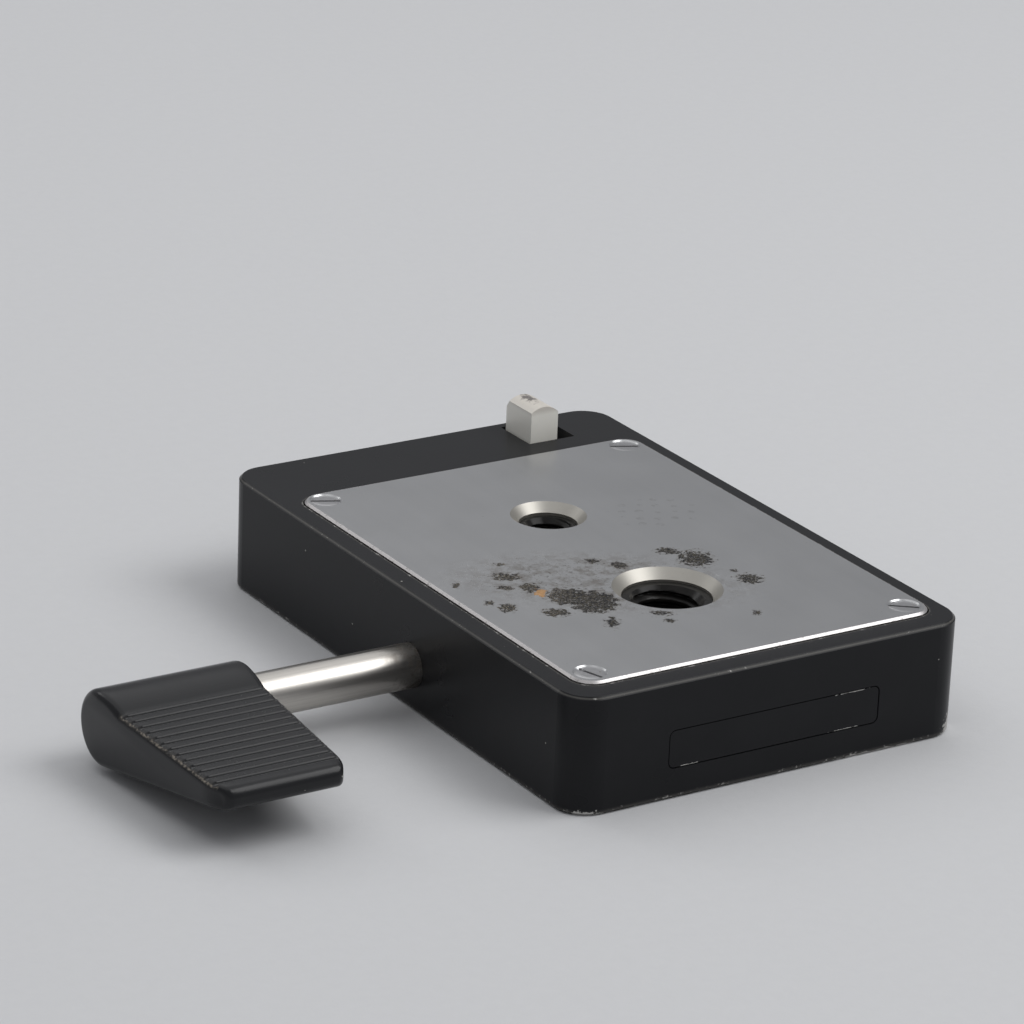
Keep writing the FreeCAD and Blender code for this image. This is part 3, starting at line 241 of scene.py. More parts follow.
class Wiring:
    """Adds nodes to one node tree and links them."""

    def __init__(self, tree):
        self.tree = tree

    def add(self, kind, inputs=None, **settings):
        node = self.tree.nodes.new(kind)
        for name, value in settings.items():
            setattr(node, name, value)
        for name, value in (inputs or {}).items():
            self.give(node.inputs[name], value)
        return node

    def give(self, socket, value):
        """Links a socket to another one, or sets its plain value."""
        if isinstance(value, bpy.types.NodeSocket):
            self.tree.links.new(value, socket)
        else:
            socket.default_value = value

    def put(self, sockets, **values):
        """Links values to the sockets of the same names."""
        for name, value in values.items():
            self.tree.links.new(value, sockets[name])

    def math(self, operation, a, b=0.0, c=0.0):
        return self.add("ShaderNodeMath", {0: a, 1: b, 2: c}, operation=operation).outputs[0]

    def times(self, first, *others):
        """The product of masks or values."""
        for other in others:
            first = self.math("MULTIPLY", first, other)
        return first

    def most(self, first, *others):
        """The greatest of masks or values."""
        for other in others:
            first = self.math("MAXIMUM", first, other)
        return first

    def vector(self, operation, a, b=(0, 0, 0)):
        node = self.add("ShaderNodeVectorMath", {0: a, 1: b}, operation=operation)
        return node.outputs["Value" if operation == "LENGTH" else "Vector"]

    def scaled(self, vector, factor):
        node = self.add("ShaderNodeVectorMath", {0: vector, 3: factor}, operation="SCALE")
        return node.outputs["Vector"]

    def turned(self, vector, degrees):
        """The vector turned about Z."""
        given = {"Vector": vector, "Angle": math.radians(degrees)}
        return self.add("ShaderNodeVectorRotate", given, rotation_type="Z_AXIS").outputs[0]

    def parts(self, vector):
        return self.add("ShaderNodeSeparateXYZ", {0: vector}).outputs

    def step(self, value, low, high, soft=True):
        """0 below low and 1 above high. The two may be swapped."""
        node = self.add(
            "ShaderNodeMapRange",
            {"Value": value, "From Min": low, "From Max": high},
            interpolation_type="SMOOTHSTEP" if soft else "LINEAR",
        )
        return node.outputs["Result"]

    def mix(self, mask, a, b):
        node = self.add("ShaderNodeMix", {0: mask, 6: a, 7: b}, data_type="RGBA")
        return node.outputs[2]

    def blend(self, mask, a, b):
        node = self.add("ShaderNodeMix", {0: mask, 2: a, 3: b}, data_type="FLOAT")
        return node.outputs[0]

    def noise(self, vector, scale, detail=2.0, roughness=0.5):
        node = self.add(
            "ShaderNodeTexNoise",
            {"Vector": vector, "Scale": scale, "Detail": detail, "Roughness": roughness},
        )
        return node.outputs["Fac"]

    def cells(self, vector, scale):
        node = self.add("ShaderNodeTexVoronoi", {"Vector": vector, "Scale": scale})
        return node.outputs["Distance"], node.outputs["Color"]

    def group(self, name, **inputs):
        """Places a shared node group with its own values."""
        node = self.add("ShaderNodeGroup", node_tree=GROUPS[name])
        for label, value in inputs.items():
            self.give(node.inputs[label.replace("_", " ").capitalize()], value)
        return node.outputs

    def place(self):
        """The point on the object, in millimetres."""
        coordinates = self.add("ShaderNodeTexCoord").outputs["Object"]
        return self.scaled(coordinates, 1 / MM)


def new_group(name, inputs, outputs):
    """A shader node group with its sockets. Returns the tree, its wiring and its two end nodes."""
    tree = bpy.data.node_groups.new(name, "ShaderNodeTree")
    for in_out, sockets in (("INPUT", inputs), ("OUTPUT", outputs)):
        for label, kind, *default in sockets:
            socket = tree.interface.new_socket(
                label, in_out=in_out, socket_type="NodeSocket" + kind
            )
            if default:
                socket.default_value = default[0]
    wiring = Wiring(tree)
    return tree, wiring, wiring.add("NodeGroupInput").outputs, wiring.add("NodeGroupOutput").inputs


def make_grain_group():
    """Fine irregular grain, as a height."""
    tree, w, given, result = new_group(
        "surface_grain",
        (("Place", "Vector"), ("Fineness", "Float", 2.0), ("Waviness", "Float", 0.3)),
        (("Height", "Float"), ("Tone", "Float")),
    )
    fine = w.noise(given["Place"], given["Fineness"], 3.0, 0.6)
    broad = w.noise(given["Place"], 0.11, 3.0, 0.55)
    w.put(result, Height=w.math("MULTIPLY_ADD", broad, given["Waviness"], fine))
    w.put(result, Tone=broad)
    return tree


def make_speck_group():
    """Sparse specks of dust or tiny chips."""
    tree, w, given, result = new_group(
        "specks",
        (
            ("Place", "Vector"),
            ("Spacing", "Float", 4.0),
            ("Radius", "Float", 0.08),
            ("Share", "Float", 0.3),
        ),
        (("Mask", "Float"),),
    )
    wobble = w.add("ShaderNodeTexNoise", {"Vector": given["Place"], "Scale": 3.0}).outputs["Color"]
    bent = w.vector("ADD", given["Place"], w.scaled(wobble, 0.25))
    distance, colour = w.cells(bent, w.math("DIVIDE", 1.0, given["Spacing"]))
    parts = w.add("ShaderNodeSeparateColor", {"Color": colour}).outputs
    reach = w.math(
        "DIVIDE", w.times(given["Radius"], w.math("ADD", parts["Green"], 0.4)), given["Spacing"]
    )
    near = w.step(distance, w.times(reach, 1.3), w.times(reach, 0.8))
    chosen = w.math("LESS_THAN", parts["Red"], given["Share"])
    w.put(result, Mask=w.times(near, chosen))
    return tree


def make_patch_group():
    """An irregular patch inside an ellipse: residue, rust or bare metal."""
    tree, w, given, result = new_group(
        "patch",
        (
            ("Place", "Vector"),
            ("Middle", "Vector"),
            ("Reach", "Vector", (1.0, 1.0, 1.0)),
            ("Fineness", "Float", 1.0),
            ("Cover", "Float", 0.5),
            ("Softness", "Float", 0.08),
        ),
        (("Mask", "Float"), ("Halo", "Float")),
    )
    away = w.vector("DIVIDE", w.vector("SUBTRACT", given["Place"], given["Middle"]), given["Reach"])
    distance = w.vector("LENGTH", away)
    inside = w.step(distance, 1.0, 0.0, soft=False)
    broken = w.noise(given["Place"], given["Fineness"], 5.0, 0.62)
    level = w.math("ADD", w.times(inside, 0.55), w.math("SUBTRACT", broken, 0.5))
    edge = w.math("SUBTRACT", 0.6, w.times(given["Cover"], 0.6))
    mask = w.step(level, edge, w.math("ADD", edge, given["Softness"]))
    halo = w.step(level, w.math("SUBTRACT", edge, 0.16), w.math("ADD", edge, 0.05))
    limit = w.step(distance, 1.0, 0.85)
    w.put(result, Mask=w.times(mask, limit))
    w.put(result, Halo=w.times(halo, limit))
    return tree


def make_streak_group():
    """Fine lines drawn along one direction, as on brushed or drawn metal."""
    tree, w, given, result = new_group(
        "streaks",
        (("Place", "Vector"), ("Squeeze", "Vector", (0.05, 6.0, 6.0))),
        (("Height", "Float"), ("Tone", "Float")),
    )
    drawn = w.vector("MULTIPLY", given["Place"], given["Squeeze"])
    w.put(result, Height=w.noise(drawn, 1.0, 4.0, 0.65))
    w.put(result, Tone=w.noise(drawn, 0.22, 2.0, 0.5))
    return tree


def make_ring_group():
    """Turning marks: fine rings about an upright line."""
    tree, w, given, result = new_group(
        "turning_marks",
        (("Place", "Vector"), ("Middle", "Vector"), ("Pitch", "Float", 0.12)),
        (("Height", "Float"), ("Radius", "Float")),
    )
    away = w.vector("MULTIPLY", w.vector("SUBTRACT", given["Place"], given["Middle"]), (1, 1, 0))
    radius = w.vector("LENGTH", away)
    around = w.add("ShaderNodeCombineXYZ", {0: w.math("DIVIDE", radius, given["Pitch"])}).outputs[0]
    w.put(result, Height=w.noise(around, 1.0, 3.0, 0.7))
    w.put(result, Radius=radius)
    return tree


def make_rim_group():
    """A line along an upright outline with round corners, such as a block's edge."""
    tree, w, given, result = new_group(
        "rim",
        (
            ("Place", "Vector"),
            ("Middle", "Vector"),
            ("Half", "Vector"),
            ("Corner", "Float", 4.0),
            ("Inward", "Float", 0.1),
            ("Outward", "Float", 0.1),
            ("Low", "Float", 0.2),
            ("High", "Float", 0.2),
        ),
        (("Mask", "Float"),),
    )
    away = w.vector("SUBTRACT", given["Place"], given["Middle"])
    height = w.parts(away)["Z"]
    flat = w.vector("MULTIPLY", w.vector("ABSOLUTE", away), (1, 1, 0))
    corner = w.add("ShaderNodeCombineXYZ", {0: given["Corner"], 1: given["Corner"]}).outputs[0]
    past = w.vector(
        "SUBTRACT",
        flat,
        w.vector("SUBTRACT", w.vector("MULTIPLY", given["Half"], (1, 1, 0)), corner),
    )
    past_parts = w.parts(past)
    inner = w.math("MINIMUM", w.most(past_parts["X"], past_parts["Y"]), 0.0)
    outer = w.vector("LENGTH", w.vector("MAXIMUM", past, (0, 0, 0)))
    distance = w.math("SUBTRACT", w.math("ADD", inner, outer), given["Corner"])
    within = w.step(distance, w.times(given["Inward"], -1.0), w.times(given["Inward"], -0.4))
    short = w.step(distance, given["Outward"], w.times(given["Outward"], 0.4))
    over = w.step(height, w.times(given["Low"], -1.0), w.times(given["Low"], -0.4))
    under = w.step(height, given["High"], w.times(given["High"], 0.4))
    mask = w.times(w.times(within, short), w.times(over, under))
    w.put(result, Mask=mask)
    return tree


GROUPS = {}
MATERIALS = {}


def build_groups():
    GROUPS.update(
        grain=make_grain_group(),
        specks=make_speck_group(),
        patch=make_patch_group(),
        streaks=make_streak_group(),
        rings=make_ring_group(),
        rim=make_rim_group(),
    )


def new_material(name):
    """A material with only a Principled BSDF, its wiring and that shader."""
    material = bpy.data.materials.new(name)
    material.use_nodes = True
    tree = material.node_tree
    shader = next(n for n in tree.nodes if n.type == "BSDF_PRINCIPLED")
    MATERIALS[name] = material
    return material, Wiring(tree), shader


def feed(wiring, shader, **inputs):
    for name, value in inputs.items():
        wiring.give(shader.inputs[name.replace("_", " ").title()], value)


def bump(wiring, height, strength, distance_mm, normal=None):
    inputs = {"Height": height, "Strength": strength, "Distance": distance_mm * MM}
    if normal is not None:
        inputs["Normal"] = normal
    return wiring.add("ShaderNodeBump", inputs).outputs["Normal"]


# Settings that a user would change


def millimetres(name, description, default):
    """A length. Blender would show its own length unit in metres, so the unit is named here."""
    return bpy.props.FloatProperty(name=name, description=description + ", mm", default=default)


class BlockSettings(bpy.types.PropertyGroup):
    paint: bpy.props.FloatVectorProperty(
        name="Paint",
        description="Colour of the satin black paint",
        subtype="COLOR",
        size=3,
        default=(0.0105, 0.0108, 0.012),
    )
    gloss: bpy.props.FloatProperty(
        name="Roughness",
        description="Roughness of the paint",
        default=0.3,
        min=0.0,
        max=1.0,
        subtype="FACTOR",
    )
    edge: bpy.props.FloatProperty(
        name="Edge", description="Broken edges of the block, mm", default=0.12, min=0.0
    )


class PlateSettings(bpy.types.PropertyGroup):
    steel: bpy.props.FloatVectorProperty(
        name="Steel",
        description="Colour of the stainless plate",
        subtype="COLOR",
        size=3,
        default=(0.53, 0.535, 0.54),
    )
    residue: bpy.props.FloatProperty(
        name="Residue",
        description="How much old residue covers the plate",
        default=0.5,
        min=0.0,
        max=1.0,
    )


class HandleSettings(bpy.types.PropertyGroup):
    end_round: millimetres("End round", "Radius round the shaft", 5.05)
    band_round: millimetres("Band round", "Radius of the smooth band", 14.2)
    band_reach: millimetres("Band reach", "Length of the smooth band", 5.3)
    nose_reach: millimetres("Nose reach", "Shaft to the nose's middle", 27.8)
    nose_rise: millimetres("Nose rise", "Height of the nose over the shaft", 1.45)
    nose_round: millimetres("Nose round", "Radius of the nose", 1.6)
    taper: millimetres("Taper", "How far each end draws in to the nose", 1.8)
    taper_run: millimetres("Taper run", "Length over which it draws in", 30.4)
    edge_round: millimetres("Edge round", "Radius of the end edges", 1.1)
    corner_round: millimetres("Corner round", "Length of the nose's corners", 3.4)
    corner_draw: millimetres("Corner draw", "Depth of the nose's corners", 0.8)
    ribs: bpy.props.IntProperty(
        name="Grooves", description="Number of grip grooves", default=13, min=1
    )
    rib_pitch: millimetres("Groove pitch", "Spacing of the grooves", 1.713)
    rib_depth: millimetres("Groove depth", "Depth of the grooves", 0.45)


class SocketSettings(bpy.types.PropertyGroup):
    large_major: millimetres("Large thread", "Major radius", 4.7625)
    large_pitch: millimetres("Large pitch", "Pitch", 1.5875)
    small_major: millimetres("Small thread", "Major radius", 3.175)
    small_pitch: millimetres("Small pitch", "Pitch", 1.27)


class StageSettings(bpy.types.PropertyGroup):
    floor: bpy.props.FloatVectorProperty(
        name="Floor",
        description="Colour of the floor",
        subtype="COLOR",
        size=3,
        default=(0.62, 0.625, 0.635),
    )
    key_power: bpy.props.FloatProperty(
        name="Key", description="Power of the right softbox", default=5.6, unit="POWER"
    )
    fill_power: bpy.props.FloatProperty(
        name="Fill", description="Power of the broad overhead softbox", default=4.7, unit="POWER"
    )
    world: bpy.props.FloatProperty(
        name="Surround", description="Strength of the pale surround", default=0.33, min=0.0
    )
    lens: millimetres("Lens", "Focal length on a 36 mm sensor", 162.65)
    azimuth: bpy.props.FloatProperty(
        name="Azimuth", description="Camera azimuth, degrees", default=-32.787
    )
    elevation: bpy.props.FloatProperty(
        name="Elevation", description="Camera elevation, degrees", default=21.133
    )
    roll: bpy.props.FloatProperty(name="Roll", description="Camera roll, degrees", default=2.369)


CAMERA_PLACE = Vector((-318.376, -475.647, 241.124))


# Finishes


def paint_material(
    name, colour, roughness, chips, speck_share=0.5, wear=None, grain=0.012, rims=(), sheen=0.14
):
    """Satin black paint with dust, fine scratches, chips at given patches, and worn edges whose
    lighter rubbed line is partly a painted highlight.
    """
    material, w, shader = new_material(name)
    place = w.place()
    grained = w.group("grain", place=place, fineness=3.2, waviness=0.8)
    dust = w.group("specks", place=place, spacing=6.0, radius=0.1, share=speck_share)["Mask"]
    fine_dust = w.group(
        "specks", place=place, spacing=2.4, radius=0.05, share=speck_share * 0.5
    )["Mask"]
    scratches = w.group("streaks", place=place, squeeze=(0.14, 0.9, 5.0))
    scratched = w.step(scratches["Height"], 0.7, 0.78)
    dusty = w.most(dust, fine_dust)
    bare, rubbed_and_highlit = [], []
    for middle, reach, fineness, cover in chips:
        patch = w.group(
            "patch",
            place=place,
            middle=middle,
            reach=reach,
            fineness=fineness,
            cover=cover,
            softness=0.05,
        )
        bare.append(patch["Mask"])
    edge_noise = w.noise(place, 1.1, 6.0, 0.75)
    for middle, half, corner, inward, outward, low, high, chipped, rub_and_highlight in rims:
        line = w.group(
            "rim",
            place=place,
            middle=middle,
            half=half,
            corner=corner,
            inward=inward,
            outward=outward,
            low=low,
            high=high,
        )["Mask"]
        broken_line = w.step(edge_noise, 0.68 - 0.3 * chipped, 0.73 - 0.3 * chipped)
        bare.append(w.times(line, broken_line))
        rubbed_and_highlit.append(w.times(line, rub_and_highlight))
    bare = w.most(*bare)
    shade = w.mix(
        w.times(grained["Tone"], 0.5), (*colour, 1), (*[c * 1.9 + 0.002 for c in colour], 1)
    )
    shade = w.mix(w.times(scratched, 0.2), shade, (0.05, 0.05, 0.053, 1))
    # Lighter grey line along the edges: edge wear and a painted highlight together
    if rubbed_and_highlit:
        shade = w.mix(w.most(*rubbed_and_highlit), shade, (0.12, 0.115, 0.105, 1))
    shade = w.mix(dusty, shade, (0.34, 0.33, 0.31, 1))
    rough = w.math("MULTIPLY_ADD", grained["Tone"], 0.16, roughness - 0.08)
    rough = w.blend(dusty, rough, 0.9)
    if wear is not None:
        worn = w.add("ShaderNodeAttribute", attribute_name=wear).outputs["Fac"]
        broken = w.noise(place, 2.2, 5.0, 0.7)
        level = w.math("ADD", worn, w.math("SUBTRACT", broken, 0.5))
        scuff = w.step(level, 0.8, 0.96)
        dull = w.step(level, 0.5, 0.9)
        shade = w.mix(w.times(dull, 0.35), shade, (0.05, 0.045, 0.038, 1))
        shade = w.mix(scuff, shade, w.mix(broken, (0.1, 0.085, 0.065, 1), (0.3, 0.27, 0.23, 1)))
        rough = w.blend(w.times(dull, 0.6), rough, 0.5)
    shade = w.mix(bare, shade, (0.5, 0.49, 0.47, 1))
    rough = w.blend(bare, rough, 0.45)
    feed(w, shader, metallic=w.times(bare, 0.7))
    height = w.math("ADD", grained["Height"], w.times(dusty, 2.0))
    height = w.math("SUBTRACT", height, w.times(bare, 2.5))
    feed(w, shader, base_color=shade, roughness=rough, normal=bump(w, height, 0.6, grain))
    shader.inputs["Specular IOR Level"].default_value = sheen
    return material


def block_paint(settings):
    front, left, right = BLOCK_LOW.y, BLOCK_LOW.x, BLOCK_HIGH.x
    top = BLOCK_HIGH.z
    # Rows: middle, reach, fineness, cover
    chips = (
        ((left + 2.2, front + 0.8, 0.0), (3.4, 2.6, 1.3), 1.7, 0.6),
        ((right - 1.2, front + 1.5, 0.3), (2.6, 3.6, 3.2), 1.3, 0.7),
        ((16.0, front + 0.2, 0.0), (13.0, 1.0, 0.75), 1.1, 0.6),
        ((right - 0.3, 0.0, 0.0), (1.0, 44.0, 0.5), 0.7, 0.45),
        ((right - 1.0, front + 0.6, top), (2.2, 1.6, 0.4), 1.8, 0.5),
    )
    middle = ((BLOCK_LOW + BLOCK_HIGH) / 2).xy
    half = ((BLOCK_HIGH - BLOCK_LOW) / 2).xy
    seat_middle = ((PLATE_LOW + PLATE_HIGH) / 2).xy
    seat_half = ((PLATE_HIGH - PLATE_LOW) / 2).xy
    # Rows: middle, half size, corner, reach in, out, down and up, shares chipped and rubbed. The
    # rubbed line is edge wear with a painted highlight.
    rims = (
        ((*middle, top), (*half, 0), BLOCK_CORNER, 0.36, 0.2, 0.36, 0.2, 0.27, 0.95),
        ((*seat_middle, top), (*seat_half, 0), PLATE_CORNER, 0.2, 0.5, 0.3, 0.2, 0.42, 0.5),
        ((*middle, 0.0), (*half, 0), BLOCK_CORNER, 0.6, 0.2, 0.2, 0.85, 0.38, 0.4),
    )
    return paint_material(
        "black_paint", settings.paint, settings.gloss, chips, speck_share=0.34, rims=rims
    )


def handle_paint(settings):
    low, high = HANDLE_LOW, HANDLE_HIGH
    chips = (
        ((low.x, low.y + 27.0, 5.0), (0.4, 0.9, 0.9), 2.2, 0.42),
        ((high.x - 3.0, low.y + 0.6, 7.6), (2.0, 0.8, 0.9), 2.4, 0.34),
    )
    return paint_material(
        "handle_paint",
        settings.paint,
        settings.gloss - 0.06,
        chips,
        speck_share=0.4,
        wear="worn_rim",
        grain=0.008,
        sheen=0.26,
    )


def steel_material(name, colour, roughness, squeeze, stains=0.0, strength=0.25, warm=0.0):
    """Plain steel with a drawn or brushed grain and a little uneven tone."""
    material, w, shader = new_material(name)
    place = w.place()
    drawn = w.group("streaks", place=place, squeeze=squeeze)
    broad = w.group("grain", place=place, fineness=0.5, waviness=0.5)
    tone = w.math("MULTIPLY_ADD", drawn["Height"], 0.35, w.times(broad["Tone"], 0.3))
    dark = tuple(c * 0.72 for c in colour)
    shade = w.mix(
        tone,
        (*dark, 1),
        (colour[0] * 1.12, colour[1] * (1.12 - 0.02 * warm), colour[2] * (1.12 - 0.07 * warm), 1),
    )
    rough = w.math("MULTIPLY_ADD", drawn["Tone"], 0.14, roughness - 0.07)
    if stains:
        stained = w.step(w.noise(place, 0.9, 5.0, 0.65), 0.72 - 0.2 * stains, 0.82 - 0.1 * stains)
        shade = w.mix(w.times(stained, 0.6), shade, (0.09, 0.08, 0.065, 1))
        rough = w.blend(stained, rough, 0.6)
    feed(
        w,
        shader,
        base_color=shade,
        metallic=1.0,
        roughness=rough,
        normal=bump(w, drawn["Height"], strength, 0.01),
    )
    return material


# Old residue lies about the large window, most of it to the lever's side. Its places are
# measured from the window's middle, across and away, as one looks over the near left corner.
# Rows: middle, reach, fineness, cover above the plate's general cover
RESIDUE_TURN = 32.8
RESIDUES = (
    ((0.2, 12.9), (2.5, 1.8), 1.6, 0.15),
    ((3.9, 10.6), (3.4, 4.1), 1.3, 0.19),
    ((-6.3, 7.2), (1.8, 2.2), 1.5, 0.13),
    ((-9.7, 8.2), (2.4, 1.8), 1.7, -0.03),
    ((10.8, 4.3), (2.9, 2.9), 1.4, 0.09),
    ((8.8, 6.9), (1.1, 1.1), 1.9, -0.01),
    ((-21.0, 1.3), (3.4, 2.2), 1.5, 0.09),
    ((-21.1, -2.5), (2.0, 1.3), 1.7, 0.09),
    ((-17.9, -2.0), (1.8, 2.4), 1.5, 0.19),
    ((-12.8, -4.5), (3.8, 3.7), 1.2, 0.27),
    ((-9.6, -6.0), (3.9, 4.4), 1.0, 0.37),
    ((-20.6, -9.2), (1.7, 2.2), 1.5, 0.17),
    ((-14.4, -10.1), (2.7, 1.9), 1.4, 0.19),
    ((-23.0, -7.8), (1.3, 1.8), 1.8, -0.01),
    ((-7.2, -12.6), (1.7, 3.3), 1.6, 0.03),
    ((0.1, -11.2), (1.3, 1.1), 1.7, 0.11),
    ((11.3, -7.3), (1.1, 1.9), 1.9, -0.01),
    ((-27.4, -2.3), (1.0, 1.9), 1.8, 0.03),
    ((-22.1, 5.6), (1.7, 1.1), 1.9, -0.03),
    ((-0.9, -8.8), (3.5, 2.2), 1.6, -0.09),
)


def residue_masks(w, place, turned, cover):
    """Dark residue, the smudge round it, thin haze, and one rusty spot."""
    patches = []
    for middle, reach, fineness, more in RESIDUES:
        patch = w.group(
            "patch",
            place=turned,
            middle=(*middle, 0.0),
            reach=(*reach, 2.0),
            fineness=fineness,
            cover=cover + more,
            softness=0.05,
        )
        patches.append(patch)
    dark = w.most(*(patch["Mask"] for patch in patches))
    smudge = w.most(*(patch["Halo"] for patch in patches))
    haze_middle, haze_reach = (-9.0, 1.0, 0.0), (24.0, 13.0, 4.0)
    from_haze = w.vector("DIVIDE", w.vector("SUBTRACT", turned, haze_middle), haze_reach)
    haze = w.step(w.vector("LENGTH", from_haze), 1.0, 0.35)
    flecks = w.times(haze, w.step(w.noise(place, 1.9, 7.0, 0.78), 0.57, 0.62))
    haze = w.times(haze, w.step(w.noise(place, 0.5, 6.0, 0.72), 0.42, 0.64))
    fine = w.step(w.noise(place, 3.4, 6.0, 0.8), 0.36, 0.5)
    dark = w.most(w.times(dark, fine), w.times(flecks, 0.75))
    rust = w.group(
        "patch",
        place=turned,
        middle=(-16.4, -3.7, 0.0),
        reach=(1.3, 2.4, 2.0),
        fineness=2.0,
        cover=0.62,
        softness=0.06,
    )["Mask"]
    return dark, smudge, haze, rust


def faint_marks(w, place):
    """Rows of faint round marks beyond the small window."""
    from_middle = w.vector("SUBTRACT", place, (13.9, 4.4, PLATE_HIGH.z))
    inside = w.step(w.vector("LENGTH", w.vector("DIVIDE", from_middle, (7.5, 5.5, 3.0))), 1.0, 0.8)
    rows = w.vector("MULTIPLY", w.turned(from_middle, 28), (1, 1, 0))
    marks = w.add("ShaderNodeTexVoronoi", {"Vector": rows, "Scale": 0.42, "Randomness": 0.22})
    dots = w.times(w.step(marks.outputs["Distance"], 0.3, 0.2), inside)
    return w.times(dots, w.step(w.noise(place, 1.6, 3.0, 0.6), 0.38, 0.6))


def plate_steel(settings):
    """The tripod plate: fine satin steel, turned window bevels, dark residue and a little rust."""
    material, w, shader = new_material("stainless_plate")
    place = w.place()
    drawn = w.group("streaks", place=place, squeeze=(2.6, 0.07, 2.6))
    grained = w.group("grain", place=place, fineness=5.0, waviness=0.4)
    large = w.group("rings", place=place, middle=LARGE_SOCKET, pitch=0.16)
    small = w.group("rings", place=place, middle=SMALL_SOCKET, pitch=0.13)
    in_large = w.step(large["Radius"], LARGE_WINDOW + 0.02, LARGE_WINDOW - 0.02)
    in_small = w.step(small["Radius"], SMALL_WINDOW + 0.02, SMALL_WINDOW - 0.02)
    in_window = w.most(in_large, in_small)
    turned = w.math(
        "ADD", w.times(in_large, large["Height"]), w.times(in_small, small["Height"])
    )

    steel = settings.steel
    tone = w.math("MULTIPLY_ADD", drawn["Tone"], 0.5, w.times(grained["Tone"], 0.4))
    shade = w.mix(tone, (*[c * 0.93 for c in steel], 1), (*[min(c * 1.06, 1) for c in steel], 1))
    shade = w.mix(in_window, shade, (0.42, 0.405, 0.37, 1))
    plate_middle = ((PLATE_LOW + PLATE_HIGH) / 2).xy
    plate_half = ((PLATE_HIGH - PLATE_LOW) / 2).xy
    edge = w.group(
        "rim",
        place=place,
        middle=(*plate_middle, PLATE_HIGH.z),
        half=(*plate_half, 0),
        corner=PLATE_CORNER,
        inward=0.5,
        outward=0.5,
        low=1.2,
        high=0.5,
    )["Mask"]
    nicks = w.step(w.noise(place, 1.6, 5.0, 0.7), 0.56, 0.66)
    # Painted reflection tint: the bevel is tinted slightly pinkish, like the highlight it catches.
    # The dark nicks are real.
    shade = w.mix(w.times(edge, 0.5), shade, (0.5, 0.46, 0.45, 1))
    shade = w.mix(w.times(w.times(edge, nicks), 0.6), shade, (0.16, 0.15, 0.14, 1))

    turned_residue = w.turned(
        w.vector("SUBTRACT", place, (LARGE_SOCKET.x, LARGE_SOCKET.y, PLATE_HIGH.z)), RESIDUE_TURN
    )
    dark, smudge, haze, rust = residue_masks(w, place, turned_residue, settings.residue)
    off_window = w.math("SUBTRACT", 1.0, in_window)
    dark, rust, smudge, haze = (w.times(mask, off_window) for mask in (dark, rust, smudge, haze))

    dots = faint_marks(w, place)
    pits = w.group("specks", place=place, spacing=1.7, radius=0.07, share=0.4)["Mask"]
    hairs = w.step(w.noise(w.vector("MULTIPLY", place, (0.35, 5.5, 1.0)), 1.0, 3.0, 0.6), 0.7, 0.76)
    light_marks = w.step(w.noise(place, 0.8, 6.0, 0.7), 0.62, 0.72)
    shade = w.mix(w.times(haze, 0.7), shade, (0.19, 0.165, 0.14, 1))
    shade = w.mix(w.times(smudge, 0.38), shade, (0.16, 0.14, 0.12, 1))
    shade = w.mix(w.times(light_marks, 0.07), shade, (0.3, 0.29, 0.28, 1))
    shade = w.mix(w.times(hairs, 0.12), shade, (0.8, 0.79, 0.77, 1))
    shade = w.mix(w.times(pits, 0.4), shade, (0.24, 0.23, 0.21, 1))
    shade = w.mix(w.times(dots, 0.3), shade, (0.26, 0.25, 0.245, 1))
    olive = w.mix(
        w.step(w.noise(place, 2.4, 3.0), 0.35, 0.7),
        (0.006, 0.007, 0.011, 1),
        (0.055, 0.048, 0.034, 1),
    )
    across = w.parts(turned_residue)["X"]
    grains = w.step(w.noise(place, 4.5, 4.0, 0.7), 0.54, 0.62)
    grains = w.times(grains, w.blend(w.step(across, -11.5, -15.5), 0.2, 1.0))
    olive = w.mix(w.times(grains, 0.8), olive, (0.38, 0.33, 0.25, 1))
    shade = w.mix(dark, shade, olive)
    shade = w.mix(
        rust, shade, w.mix(w.noise(place, 3.5), (0.26, 0.14, 0.06, 1), (0.56, 0.34, 0.17, 1))
    )

    matt = w.most(dark, rust)
    rough = w.math("MULTIPLY_ADD", grained["Tone"], 0.06, 0.29)
    rough = w.blend(in_window, rough, 0.46)
    rough = w.blend(edge, rough, 0.43)
    rough = w.math("ADD", rough, w.times(smudge, 0.1))
    rough = w.math("ADD", rough, w.times(haze, 0.08))
    rough = w.blend(matt, rough, 0.6)
    metallic = w.blend(matt, 1.0, 0.0)
    normal = bump(w, w.math("ADD", drawn["Height"], grained["Height"]), 0.16, 0.008)
    normal = bump(w, turned, 0.5, 0.02, normal)
    normal = bump(w, matt, 0.9, 0.06, normal)
    shader.inputs["Specular IOR Level"].default_value = 0.15
    feed(w, shader, base_color=shade, roughness=rough, metallic=metallic, normal=normal)
    return material


def socket_steel():
    """Blackened, oily thread steel."""
    material, w, shader = new_material("dark_steel")
    place = w.place()
    grained = w.group("grain", place=place, fineness=1.6, waviness=1.0)
    shade = w.mix(
        w.step(grained["Height"], 0.6, 1.3), (0.005, 0.005, 0.005, 1), (0.013, 0.012, 0.011, 1)
    )
    rough = w.math("MULTIPLY_ADD", grained["Tone"], 0.25, 0.1)
    feed(
        w,
        shader,
        base_color=shade,
        roughness=rough,
        normal=bump(w, grained["Height"], 0.35, 0.05),
    )
    shader.inputs["Specular IOR Level"].default_value = 0.14
    return material


